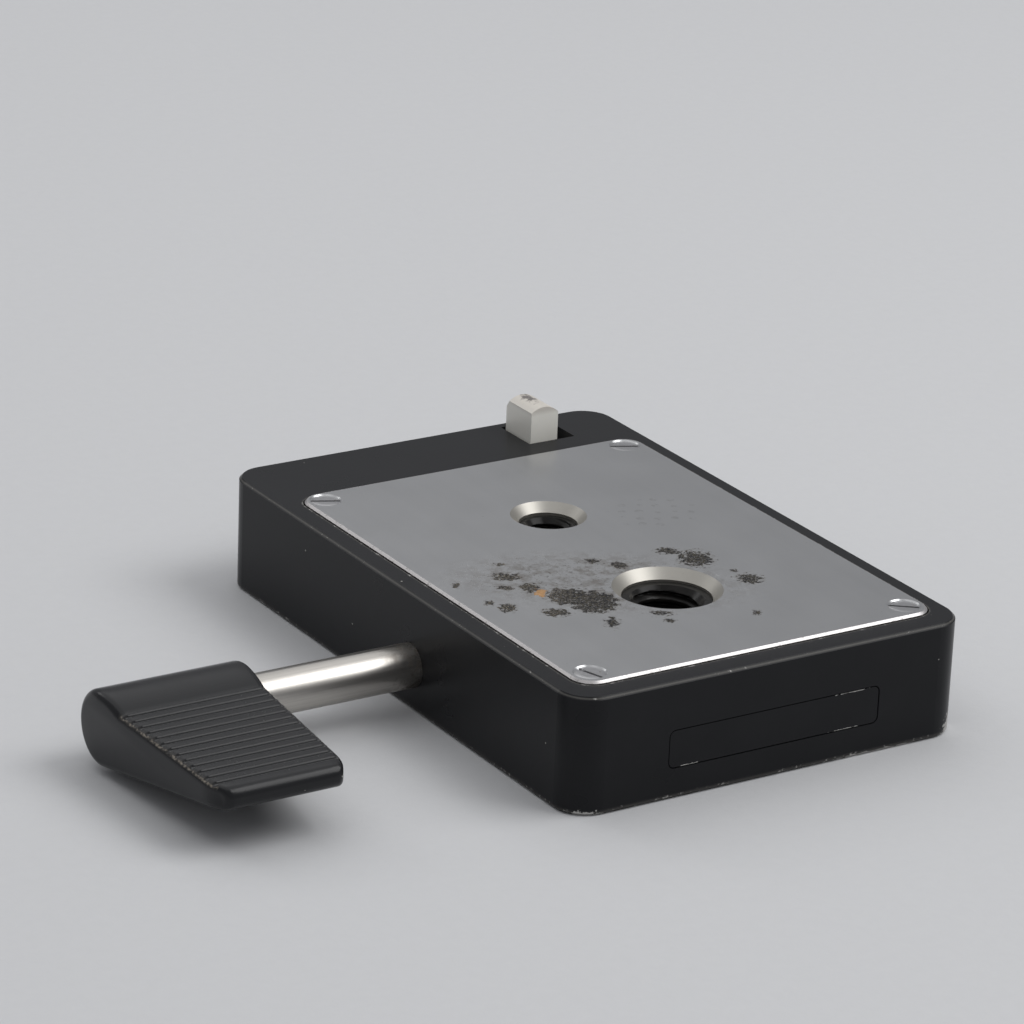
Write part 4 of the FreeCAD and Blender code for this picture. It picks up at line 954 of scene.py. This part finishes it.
def screw_steel():
    """Turned screw heads with scattered stains."""
    material, w, shader = new_material("screw_steel")
    place = w.place()
    rings = w.group("rings", place=place, middle=(0, 0, 0), pitch=0.09)
    stained = w.step(w.noise(place, 1.1, 5.0, 0.65), 0.58, 0.72)
    shade = w.mix(rings["Height"], (0.44, 0.44, 0.45, 1), (0.66, 0.66, 0.66, 1))
    shade = w.mix(w.times(stained, 0.55), shade, (0.16, 0.13, 0.1, 1))
    feed(
        w,
        shader,
        base_color=shade,
        metallic=1.0,
        roughness=w.blend(stained, 0.28, 0.55),
        normal=bump(w, rings["Height"], 0.35, 0.02),
    )
    return material


def shaft_steel():
    """Ground steel drawn along the shaft, browned where it enters the block."""
    material, w, shader = new_material("shaft_steel")
    place = w.place()
    drawn = w.group("streaks", place=place, squeeze=(0.035, 3.6, 3.6))
    around = w.group("streaks", place=place, squeeze=(5.0, 0.3, 0.3))
    shade = w.mix(drawn["Height"], (0.42, 0.4, 0.37, 1), (0.66, 0.635, 0.595, 1))
    entry = w.parts(place)["X"]
    near_wall = w.step(entry, BLOCK_LOW.x - 7.0, BLOCK_LOW.x - 0.5)
    brown = w.times(near_wall, w.step(w.noise(place, 0.8, 5.0, 0.65), 0.42, 0.62))
    shade = w.mix(w.times(brown, 0.7), shade, (0.13, 0.1, 0.075, 1))
    rough = w.math("MULTIPLY_ADD", drawn["Tone"], 0.2, 0.2)
    rough = w.blend(brown, rough, 0.5)
    normal = bump(w, drawn["Height"], 0.28, 0.01)
    normal = bump(w, around["Height"], 0.1, 0.01, normal)
    feed(w, shader, base_color=shade, metallic=1.0, roughness=rough, normal=normal)
    return material


def catch_steel():
    """Nickelled steel of the catch, scratched, with worn dark spots on the crown."""
    material, w, shader = new_material("catch_steel")
    place = w.place()
    low, high = box_mm("catch_slider")
    scratched = w.group("streaks", place=place, squeeze=(0.5, 3.5, 0.5))
    grained = w.group("grain", place=place, fineness=1.4, waviness=0.5)
    shade = w.mix(grained["Tone"], (0.84, 0.82, 0.74, 1), (0.95, 0.935, 0.87, 1))
    crown = (0.5 * (low.x + high.x) - 0.8, high.y - 3.0, high.z)
    spots = w.group(
        "patch", place=place, middle=crown, reach=(3.0, 4.5, 0.8), fineness=1.6, cover=0.36
    )
    top = w.step(w.parts(place)["Z"], high.z - 1.3, high.z - 0.3)
    shade = w.mix(w.times(top, 0.45), shade, (0.42, 0.36, 0.31, 1))
    shade = w.mix(w.times(spots["Halo"], 0.4), shade, (0.3, 0.26, 0.23, 1))
    shade = w.mix(w.times(spots["Mask"], 0.8), shade, (0.09, 0.08, 0.08, 1))
    rough = w.math("MULTIPLY_ADD", grained["Tone"], 0.14, 0.3)
    feed(
        w,
        shader,
        base_color=shade,
        metallic=0.05,
        roughness=rough,
        normal=bump(w, scratched["Height"], 0.3, 0.012),
    )
    return material


def label_metal(settings):
    """The bare panel: dark enamel with light rubs on its rim."""
    low, high = box_mm("label_plate")
    chips = (
        ((low.x + 3.0, low.y, low.z), (4.0, 0.5, 0.26), 1.6, 0.42),
        ((high.x - 5.0, low.y, low.z), (6.0, 0.5, 0.24), 1.6, 0.4),
        ((high.x - 4.0, low.y, high.z), (8.0, 0.5, 0.22), 1.6, 0.38),
    )
    return paint_material(
        "label_metal", settings.paint, settings.gloss - 0.1, chips, speck_share=0.2, grain=0.004
    )


def rubber():
    material, w, shader = new_material("ring_rubber")
    grained = w.group("grain", place=w.place(), fineness=4.0, waviness=0.5)
    shade = w.mix(grained["Tone"], (0.012, 0.012, 0.012, 1), (0.03, 0.03, 0.03, 1))
    feed(w, shader, base_color=shade, roughness=0.75, normal=bump(w, grained["Height"], 0.4, 0.02))
    return material


# Made pieces


def flat_head_screw(
    name,
    place,
    head_radius,
    shank_radius,
    length,
    slot_turn,
    up=True,
    slot_width=0.44,
    slot_depth=0.4,
):
    """A countersunk screw, made head up and then set in place. A short one is all head."""
    edge = 0.05
    if length > 2 * head_radius:
        foot = ((0, -length), (shank_radius - 0.3, -length), (shank_radius, -length + 0.3))
        cone_depth = head_radius - shank_radius
    else:
        foot = ((0, -length),)
        cone_depth = length
    profile = foot + (
        (shank_radius, -cone_depth),
        (head_radius, -edge * 1.2),
        (head_radius - edge * 0.4, -edge * 0.35),
        (head_radius - edge * 1.4, 0),
        (0.55 * head_radius, 0.0),
        (0, 0.0),
    )
    screw = lathe(name, profile, sides=72)
    reach = head_radius * 1.2
    slot = brick(
        name + "_slot",
        (-reach, -slot_width / 2, -slot_depth),
        (reach, slot_width / 2, slot_depth),
        slot_turn,
    )
    carve(screw, slot)
    screw.location = Vector(place) * MM
    if not up:
        screw.rotation_euler = (math.pi, 0, 0)
    return screw


def set_screws(name, node, places, radius, shank, length, **shape):
    """Flat-head screws at given places, with given slot turns, that stand for one node."""
    for number, (place, turn) in enumerate(places, start=1):
        screw = flat_head_screw(
            "%s_%d" % (name, number), place, radius, shank, length, turn, **shape
        )
        nodes = (node,) if number == 1 else ()
        finish_piece(screw, MATERIALS["screw_steel"], ROOT_BODY, "screw_steel", *nodes)


def coil_spring(name, start, along, length, outer, wire, turns):
    """A round-wire coil with closed ends, from a start point along +X or +Z."""
    sides, steps = 10, int(turns * 30)
    radius = outer - wire
    closed = 0.8
    middle_turns = turns - 2 * closed
    end_rise = 2.1 * wire * closed
    middle_rise = length - 2 * wire - 2 * end_rise
    vertices, faces = [], []
    for i in range(steps + 1):
        turn = turns * i / steps
        if turn < closed:
            rise = end_rise * turn / closed
        elif turn > turns - closed:
            rise = end_rise + middle_rise + end_rise * (turn - turns + closed) / closed
        else:
            rise = end_rise + middle_rise * (turn - closed) / middle_turns
        angle = 2 * math.pi * turn
        out = Vector((math.cos(angle), math.sin(angle), 0))
        for k in range(sides):
            around = 2 * math.pi * k / sides
            height = wire + rise + wire * math.sin(around)
            point = out * (radius + wire * math.cos(around)) + Vector((0, 0, height))
            if along == "X":
                point = Vector((point.z, point.x, point.y))
            vertices.append(Vector(start) + point)
    for i in range(steps):
        for k in range(sides):
            a, b = i * sides, (i + 1) * sides
            j = (k + 1) % sides
            faces.append((a + k, a + j, b + j, b + k))
    faces.append(tuple(reversed(range(sides))))
    faces.append(tuple(range(steps * sides, (steps + 1) * sides)))
    return mesh_object(name, vertices, faces, 50.0)


def threaded_insert(name, middle, top, length, outer, minor, major, pitch, mouth):
    """A ring with a cut internal thread, which runs out in the mouth's bevel."""
    sides, steps_per_turn = 120, 16
    count = int(math.ceil(length / pitch * steps_per_turn))
    vertices, faces = [], []
    crest, root = 0.125, 0.25

    def thread_radius(angle, height):
        turn = (height / pitch - angle / (2 * math.pi)) % 1.0
        flank = abs(turn - 0.5) * 2
        depth = min(max((flank - crest) / (1 - crest - root), 0.0), 1.0)
        return major - (major - minor) * depth

    heights = [top - length + length * j / count for j in range(count + 1)]
    for height in heights:
        bevel = mouth - (top - height)
        for i in range(sides):
            angle = 2 * math.pi * i / sides
            radius = max(thread_radius(angle, height), bevel)
            radius = min(radius, outer - 0.3)
            vertices.append(
                (middle.x + radius * math.cos(angle), middle.y + radius * math.sin(angle), height)
            )
    for j in range(count):
        for i in range(sides):
            k = (i + 1) % sides
            a, b = j * sides, (j + 1) * sides
            faces.append((a + i, b + i, b + k, a + k))
    first = len(vertices)
    for height in (heights[0], heights[-1]):
        for i in range(sides):
            angle = 2 * math.pi * i / sides
            vertices.append(
                (middle.x + outer * math.cos(angle), middle.y + outer * math.sin(angle), height)
            )
    last = count * sides
    for i in range(sides):
        k = (i + 1) % sides
        faces.append((first + i, i, k, first + k))
        faces.append((first + sides + i, first + sides + k, last + k, last + i))
        faces.append((first + i, first + k, first + sides + k, first + sides + i))
    return mesh_object(name, vertices, faces, 45.0)


def handle_outline(s):
    """The handle's side view about the shaft: points, outward directions and groove depths."""
    under = math.atan2(s.nose_rise, s.nose_reach) + math.asin(
        (s.end_round - s.nose_round) / math.hypot(s.nose_reach, s.nose_rise)
    )
    foot = -math.pi / 2 - under
    nose_middle = Vector((-s.nose_reach, s.nose_rise))
    band_middle = Vector((0.0, s.end_round - s.band_round))
    band_end = math.asin(s.band_reach / s.band_round)
    outline = []

    def arc(middle, radius, start, end, steps):
        for i in range(steps):
            angle = start + (end - start) * i / steps
            out = Vector((math.cos(angle), math.sin(angle)))
            outline.append((middle + out * radius, out, 0.0, False))

    arc(Vector((0, 0)), s.end_round, foot, math.pi / 2, 48)
    arc(band_middle, s.band_round, math.pi / 2, math.pi / 2 + band_end, 10)
    start = band_middle + Vector((-math.sin(band_end), math.cos(band_end))) * s.band_round
    end = nose_middle + Vector((0.0, s.nose_round))
    run = (end - start).length
    along = (end - start) / run
    out = Vector((-along.y, along.x))
    if out.y < 0:
        out = -out
    steps = s.ribs * 14
    grooved = s.rib_pitch * s.ribs
    for i in range(steps + 1):
        distance = grooved * i / steps
        from_middle = abs((distance / s.rib_pitch) % 1.0 - 0.5) * s.rib_pitch
        t = min(max((0.42 - from_middle) / 0.34, 0.0), 1.0)
        depth = s.rib_depth * t * t * (3 - 2 * t)
        outline.append((start + along * distance, out, depth, True))
    for i in range(1, 6):
        outline.append((start + along * (grooved + (run - grooved) * i / 6), out, 0.0, False))
    arc(nose_middle, s.nose_round, math.pi / 2, 2 * math.pi + foot, 26)
    low_start = nose_middle + Vector((math.cos(foot), math.sin(foot))) * s.nose_round
    low_end = Vector((math.cos(foot), math.sin(foot))) * s.end_round
    low_out = Vector((math.cos(foot), math.sin(foot)))
    for i in range(60):
        outline.append((low_start + (low_end - low_start) * i / 60, low_out, 0.0, False))
    return outline


def end_cap(vertices, ring, s, reverse=False):
    """Closes one end: a flat face behind, and short strips over the nose's drawn-in corner."""
    ring = list(ring)
    limit = SHAFT_AXIS.y - s.nose_reach - s.nose_round + s.corner_round + s.edge_round + 0.4
    ahead = [i for i, v in enumerate(ring) if vertices[v][1] < limit]
    top, low = ahead[0], ahead[-1]
    faces = [[ring[i] for i in list(range(low, len(ring))) + list(range(0, top + 1))]]
    while low - top > 1:
        if low - top == 2 or vertices[ring[top + 1]][1] >= vertices[ring[low - 1]][1]:
            faces.append([ring[low], ring[top], ring[top + 1]])
            top += 1
        else:
            faces.append([ring[low], ring[top], ring[low - 1]])
            low -= 1
    return [tuple(reversed(f)) if reverse else tuple(f) for f in faces]


def make_handle(s):
    """The handle, swept across the outline, with rounded end edges that the grooves run into."""
    outline = handle_outline(s)
    half = (HANDLE_HIGH.x - HANDLE_LOW.x) / 2
    middle_x = (HANDLE_HIGH.x + HANDLE_LOW.x) / 2
    round_steps, long_steps = 8, 14
    angles = [math.pi / 2 * i / round_steps for i in range(round_steps + 1)]
    rounding = [
        (s.edge_round * (1 - math.cos(a)), s.edge_round * (1 - math.sin(a))) for a in angles
    ]
    columns = [(-1, where, inset) for where, inset in rounding]
    columns += [(0, -1 + 2 * i / long_steps, 0.0) for i in range(1, long_steps)]
    columns += [(1, where, inset) for where, inset in reversed(rounding)]
    vertices, worn = [], []
    for side, where, inset in columns:
        for point, out, groove, ribbed in outline:
            sunk = point - out * max(inset, groove)
            reach = half - s.taper * min(max(-sunk.x, 0.0) / s.taper_run, 1.0)
            to_tip = s.corner_round - (s.nose_reach + s.nose_round - inset + sunk.x)
            reach -= s.corner_draw * (max(to_tip, 0.0) / s.corner_round) ** 2
            x = side * (reach - where) if side else where * (reach - s.edge_round)
            vertices.append((middle_x + x, SHAFT_AXIS.y + sunk.x, SHAFT_AXIS.z + sunk.y))
            # How much each point is rubbed: the end edges most, then the ridges between grooves
            rim = 1.0 - abs(inset / s.edge_round - 0.35) * 1.6 if side else 0.0
            ridge = 0.62 if ribbed and groove < 0.02 else 0.0
            end_rub = (1.0 if side < 0 else 0.8) if ribbed else 0.45
            worn.append(max(rim * end_rub if side else 0.0, ridge * 0.7))
    ring = len(outline)
    faces = []
    for c in range(len(columns) - 1):
        for i in range(ring):
            j = (i + 1) % ring
            a, b = c * ring, (c + 1) * ring
            faces.append((a + i, a + j, b + j, b + i))
    faces += end_cap(vertices, range(ring), s, reverse=True)
    faces += end_cap(vertices, range((len(columns) - 1) * ring, len(columns) * ring), s)
    handle = mesh_object("grip_handle", vertices, faces, 50.0)
    if len(handle.data.vertices) == len(worn):
        point_value(handle, "worn_rim", worn)
    return handle


# Operators


class COUPLING_OT_finishes(bpy.types.Operator):
    """Build the shared node groups and the finishes"""

    bl_idname = "coupling.finishes"
    bl_label = "Finishes"

    def execute(self, context):
        scene = context.scene
        build_groups()
        block_paint(scene.coupling_block)
        handle_paint(scene.coupling_block)
        label_metal(scene.coupling_block)
        plate_steel(scene.coupling_plate)
        socket_steel()
        screw_steel()
        shaft_steel()
        catch_steel()
        rubber()
        steel_material("clamp_steel", (0.5, 0.5, 0.5), 0.36, (3.0, 0.08, 3.0), stains=0.3)
        steel_material("spring_steel", (0.55, 0.55, 0.56), 0.22, (1.0, 1.0, 1.0))
        return {"FINISHED"}


class COUPLING_OT_block(bpy.types.Operator):
    """Paint the block and its bare panel"""

    bl_idname = "coupling.block"
    bl_label = "Block"

    def execute(self, context):
        settings = context.scene.coupling_block
        dress_node("body_block", MATERIALS["black_paint"], settings.edge)
        dress_node("label_plate", MATERIALS["label_metal"], 0.08)
        return {"FINISHED"}


class COUPLING_OT_base_plate(bpy.types.Operator):
    """Finish the tripod plate and make its four screws"""

    bl_idname = "coupling.base_plate"
    bl_label = "Tripod plate"

    def execute(self, context):
        dress_node("base_plate", MATERIALS["stainless_plate"], 0.06)
        low, high = box_mm("base_plate_screws")
        low_x, low_y = low.x + PLATE_SCREW, low.y + PLATE_SCREW
        high_x, high_y = high.x - PLATE_SCREW, high.y - PLATE_SCREW
        top = high.z - PLATE_SCREW_SUNK
        places = (
            ((low_x, low_y, top), -72.0),
            ((low_x, high_y, top), -25.0),
            ((high_x, low_y, top), -37.0),
            ((high_x, high_y, top), -25.0),
        )
        head = PLATE_SCREW - PLATE_SCREW_SUNK - HEAD_SLACK
        set_screws("plate_screw", "base_plate_screws", places, head, 1.25, top - low.z)
        return {"FINISHED"}


class COUPLING_OT_sockets(bpy.types.Operator):
    """Make the two threaded sockets"""

    bl_idname = "coupling.sockets"
    bl_label = "Threaded sockets"

    def execute(self, context):
        s = context.scene.coupling_sockets
        sockets = (
            ("large", LARGE_SOCKET, 4.0, s.large_major, s.large_pitch, 4.9),
            ("small", SMALL_SOCKET, 2.6, s.small_major, s.small_pitch, 3.3),
        )
        for size, middle, minor, major, pitch, mouth in sockets:
            node = size + "_thread_insert"
            low, high = box_mm(node)
            insert = threaded_insert(
                size + "_socket",
                middle,
                high.z,
                high.z - low.z,
                (high.x - low.x) / 2,
                minor,
                major,
                pitch,
                mouth,
            )
            finish_piece(insert, MATERIALS["dark_steel"], ROOT_BODY, "dark_steel", node)
        return {"FINISHED"}


class COUPLING_OT_lever(bpy.types.Operator):
    """Make the ribbed handle and finish the shaft"""

    bl_idname = "coupling.lever"
    bl_label = "Lever"

    def execute(self, context):
        handle = make_handle(context.scene.coupling_handle)
        finish_piece(handle, MATERIALS["handle_paint"], LEVER_BODY, "handle_paint", "lever_handle")
        dress_node("lever_shaft", MATERIALS["shaft_steel"])
        dress_node("lever_friction_ring", MATERIALS["ring_rubber"], 0.1)
        dress_node("handle_set_screw", MATERIALS["dark_steel"], 0.05)
        dress_node("shaft_stop_screw", MATERIALS["dark_steel"], 0.05)
        return {"FINISHED"}


class COUPLING_OT_catch(bpy.types.Operator):
    """Finish the safety catch, its spring and its cover"""

    bl_idname = "coupling.catch"
    bl_label = "Catch"

    def execute(self, context):
        dress_node("catch_slider", MATERIALS["catch_steel"], 0.12, 3)
        low, high = box_mm("catch_spring")
        middle = (low + high) / 2
        length = high.x - low.x
        spring = coil_spring(
            "catch_coil",
            (low.x, middle.y, middle.z),
            "X",
            length,
            (high.y - low.y) / 2,
            CATCH_WIRE,
            CATCH_TURNS,
        )
        finish_piece(spring, MATERIALS["spring_steel"], ROOT_BODY, "spring_steel", "catch_spring")
        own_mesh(spring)
        dress_node("catch_cover", MATERIALS["clamp_steel"], 0.06)
        low, high = box_mm("catch_cover_screws")
        radius = (high.x - low.x) / 2
        middle_x, head = (low.x + high.x) / 2, radius - HEAD_SLACK
        places = (
            ((middle_x, low.y + radius, low.z), 90.0),
            ((middle_x, high.y - radius, low.z), 140.0),
        )
        shape = {"up": False, "slot_width": 0.5, "slot_depth": 0.4}
        set_screws("cover_screw", "catch_cover_screws", places, head, 0.68, high.z - low.z, **shape)
        return {"FINISHED"}


class COUPLING_OT_underside(bpy.types.Operator):
    """Finish the guide rails, the clamp and their screws on the camera side"""

    bl_idname = "coupling.underside"
    bl_label = "Camera side"

    def execute(self, context):
        for node, edge in (
            ("left_guide_rail", 0.08), ("right_guide_rail", 0.08), ("clamp_plate", 0.08)
        ):
            dress_node(node, MATERIALS["clamp_steel"], edge)
        dress_node("clamp_screws", MATERIALS["clamp_steel"], 0.05)
        low, high = box_mm("clamp_springs")
        screw_low, screw_high = box_mm("clamp_screws")
        places = (
            (screw_low.x + CLAMP_HEAD, screw_low.y + CLAMP_HEAD),
            (screw_high.x - CLAMP_HEAD, screw_high.y - CLAMP_HEAD),
        )
        for number, (x, y) in enumerate(places, start=1):
            spring = coil_spring(
                "clamp_coil_%d" % number,
                (x, y, low.z),
                "Z",
                high.z - low.z,
                CLAMP_COIL,
                CLAMP_WIRE,
                CLAMP_TURNS,
            )
            nodes = ("clamp_springs",) if number == 1 else ()
            finish_piece(spring, MATERIALS["spring_steel"], ROOT_BODY, "spring_steel", *nodes)
        low, high = box_mm("guide_rail_screws")
        corners = [
            (x, y, low.z)
            for x in (low.x + RAIL_SCREW, high.x - RAIL_SCREW)
            for y in (low.y + RAIL_SCREW, high.y - RAIL_SCREW)
        ]
        places = [(corner, 72.0 + 47.0 * number) for number, corner in enumerate(corners)]
        shape = {"up": False, "slot_width": 0.5, "slot_depth": 0.45}
        head = RAIL_SCREW - HEAD_SLACK
        set_screws("rail_screw", "guide_rail_screws", places, head, 0.68, high.z - low.z, **shape)
        return {"FINISHED"}


class COUPLING_OT_stage(bpy.types.Operator):
    """Lay the floor, hang the lights and set the camera"""

    bl_idname = "coupling.stage"
    bl_label = "Stage"

    def execute(self, context):
        s = context.scene.coupling_stage
        make_floor(s)
        make_lights(s)
        make_camera(s)
        context.scene.view_settings.view_transform = "Standard"
        return {"FINISHED"}


def make_floor(s):
    material, w, shader = new_material("paper_floor")
    place = w.place()
    fibres = w.noise(place, 0.5, 6.0, 0.7)
    shade = w.mix(
        fibres, (*[c * 0.97 for c in s.floor], 1), (*[min(c * 1.03, 1) for c in s.floor], 1)
    )
    feed(w, shader, base_color=shade, roughness=0.85, normal=bump(w, fibres, 0.12, 0.4))
    reach = 4000.0
    corners = ((-reach, -reach, 0), (reach, -reach, 0), (reach, reach, 0), (-reach, reach, 0))
    floor = mesh_object("floor", corners, ((0, 1, 2, 3),))
    floor.data.materials.append(material)


def make_lights(s):
    """Three softboxes and a pale surround. The lamps' places and sizes are in metres."""

    def softbox(name, place, aim, width, depth, power):
        lamp = bpy.data.lights.new(name, "AREA")
        lamp.shape = "RECTANGLE"
        lamp.size, lamp.size_y = width, depth
        lamp.energy = power
        holder = bpy.data.objects.new(name, lamp)
        bpy.context.scene.collection.objects.link(holder)
        holder.location = place
        holder.rotation_euler = (Vector(place) - Vector(aim)).to_track_quat("Z", "Y").to_euler()

    softbox("key_softbox", (0.58, -0.42, 0.86), (0.0, 0.0, 0.0), 0.7, 0.7, s.key_power)
    softbox("overhead_softbox", (0.0, 0.4, 0.95), (0.0, 0.2, 0.0), 1.3, 1.6, s.fill_power)
    softbox("left_spot", (-0.36, 0.78, 0.5), (0.0, 0.0, 0.0), 0.2, 0.2, s.key_power * 0.06)
    world = bpy.data.worlds.new("surround")
    bpy.context.scene.world = world
    world.use_nodes = True
    background = next(n for n in world.node_tree.nodes if n.type == "BACKGROUND")
    background.inputs["Color"].default_value = (0.95, 0.96, 1.0, 1)
    background.inputs["Strength"].default_value = s.world


def make_camera(s):
    azimuth, elevation, roll = (math.radians(a) for a in (s.azimuth, s.elevation, s.roll))
    back = Vector(
        (
            math.sin(azimuth) * math.cos(elevation),
            -math.cos(azimuth) * math.cos(elevation),
            math.sin(elevation),
        )
    )
    right = Vector((0, 0, 1)).cross(back).normalized()
    up = back.cross(right)
    across = right * math.cos(roll) + up * math.sin(roll)
    upward = up * math.cos(roll) - right * math.sin(roll)
    camera = bpy.data.cameras.new("camera")
    camera.sensor_width = 36.0
    camera.lens = s.lens
    camera.clip_start, camera.clip_end = 0.01, 50.0
    holder = bpy.data.objects.new("camera", camera)
    bpy.context.scene.collection.objects.link(holder)
    holder.matrix_world = Matrix.Translation(CAMERA_PLACE * MM) @ Matrix(
        (across, upward, back)
    ).transposed().to_4x4()
    bpy.context.scene.camera = holder


class COUPLING_PT_panel(bpy.types.Panel):
    """Lists the pieces"""

    bl_idname = "COUPLING_PT_panel"
    bl_label = "Tripod coupling"
    bl_space_type = "VIEW_3D"
    bl_region_type = "UI"
    bl_category = "Coupling"

    def draw(self, context):
        for operator in PIECES:
            self.layout.operator(operator.bl_idname)


SETTINGS = (
    ("coupling_block", BlockSettings),
    ("coupling_plate", PlateSettings),
    ("coupling_handle", HandleSettings),
    ("coupling_sockets", SocketSettings),
    ("coupling_stage", StageSettings),
)
PIECES = (
    COUPLING_OT_finishes,
    COUPLING_OT_stage,
    COUPLING_OT_block,
    COUPLING_OT_base_plate,
    COUPLING_OT_sockets,
    COUPLING_OT_lever,
    COUPLING_OT_catch,
    COUPLING_OT_underside,
)


def register():
    for name, settings in SETTINGS:
        bpy.utils.register_class(settings)
        setattr(bpy.types.Scene, name, bpy.props.PointerProperty(type=settings))
    for piece in PIECES:
        bpy.utils.register_class(piece)
    bpy.utils.register_class(COUPLING_PT_panel)


def unregister():
    bpy.utils.unregister_class(COUPLING_PT_panel)
    for piece in reversed(PIECES):
        bpy.utils.unregister_class(piece)
    for name, settings in reversed(SETTINGS):
        delattr(bpy.types.Scene, name)
        bpy.utils.unregister_class(settings)


def main():
    register()
    for piece in PIECES:
        category, name = piece.bl_idname.split(".")
        getattr(getattr(bpy.ops, category), name)()


if __name__ == "__main__":
    main()
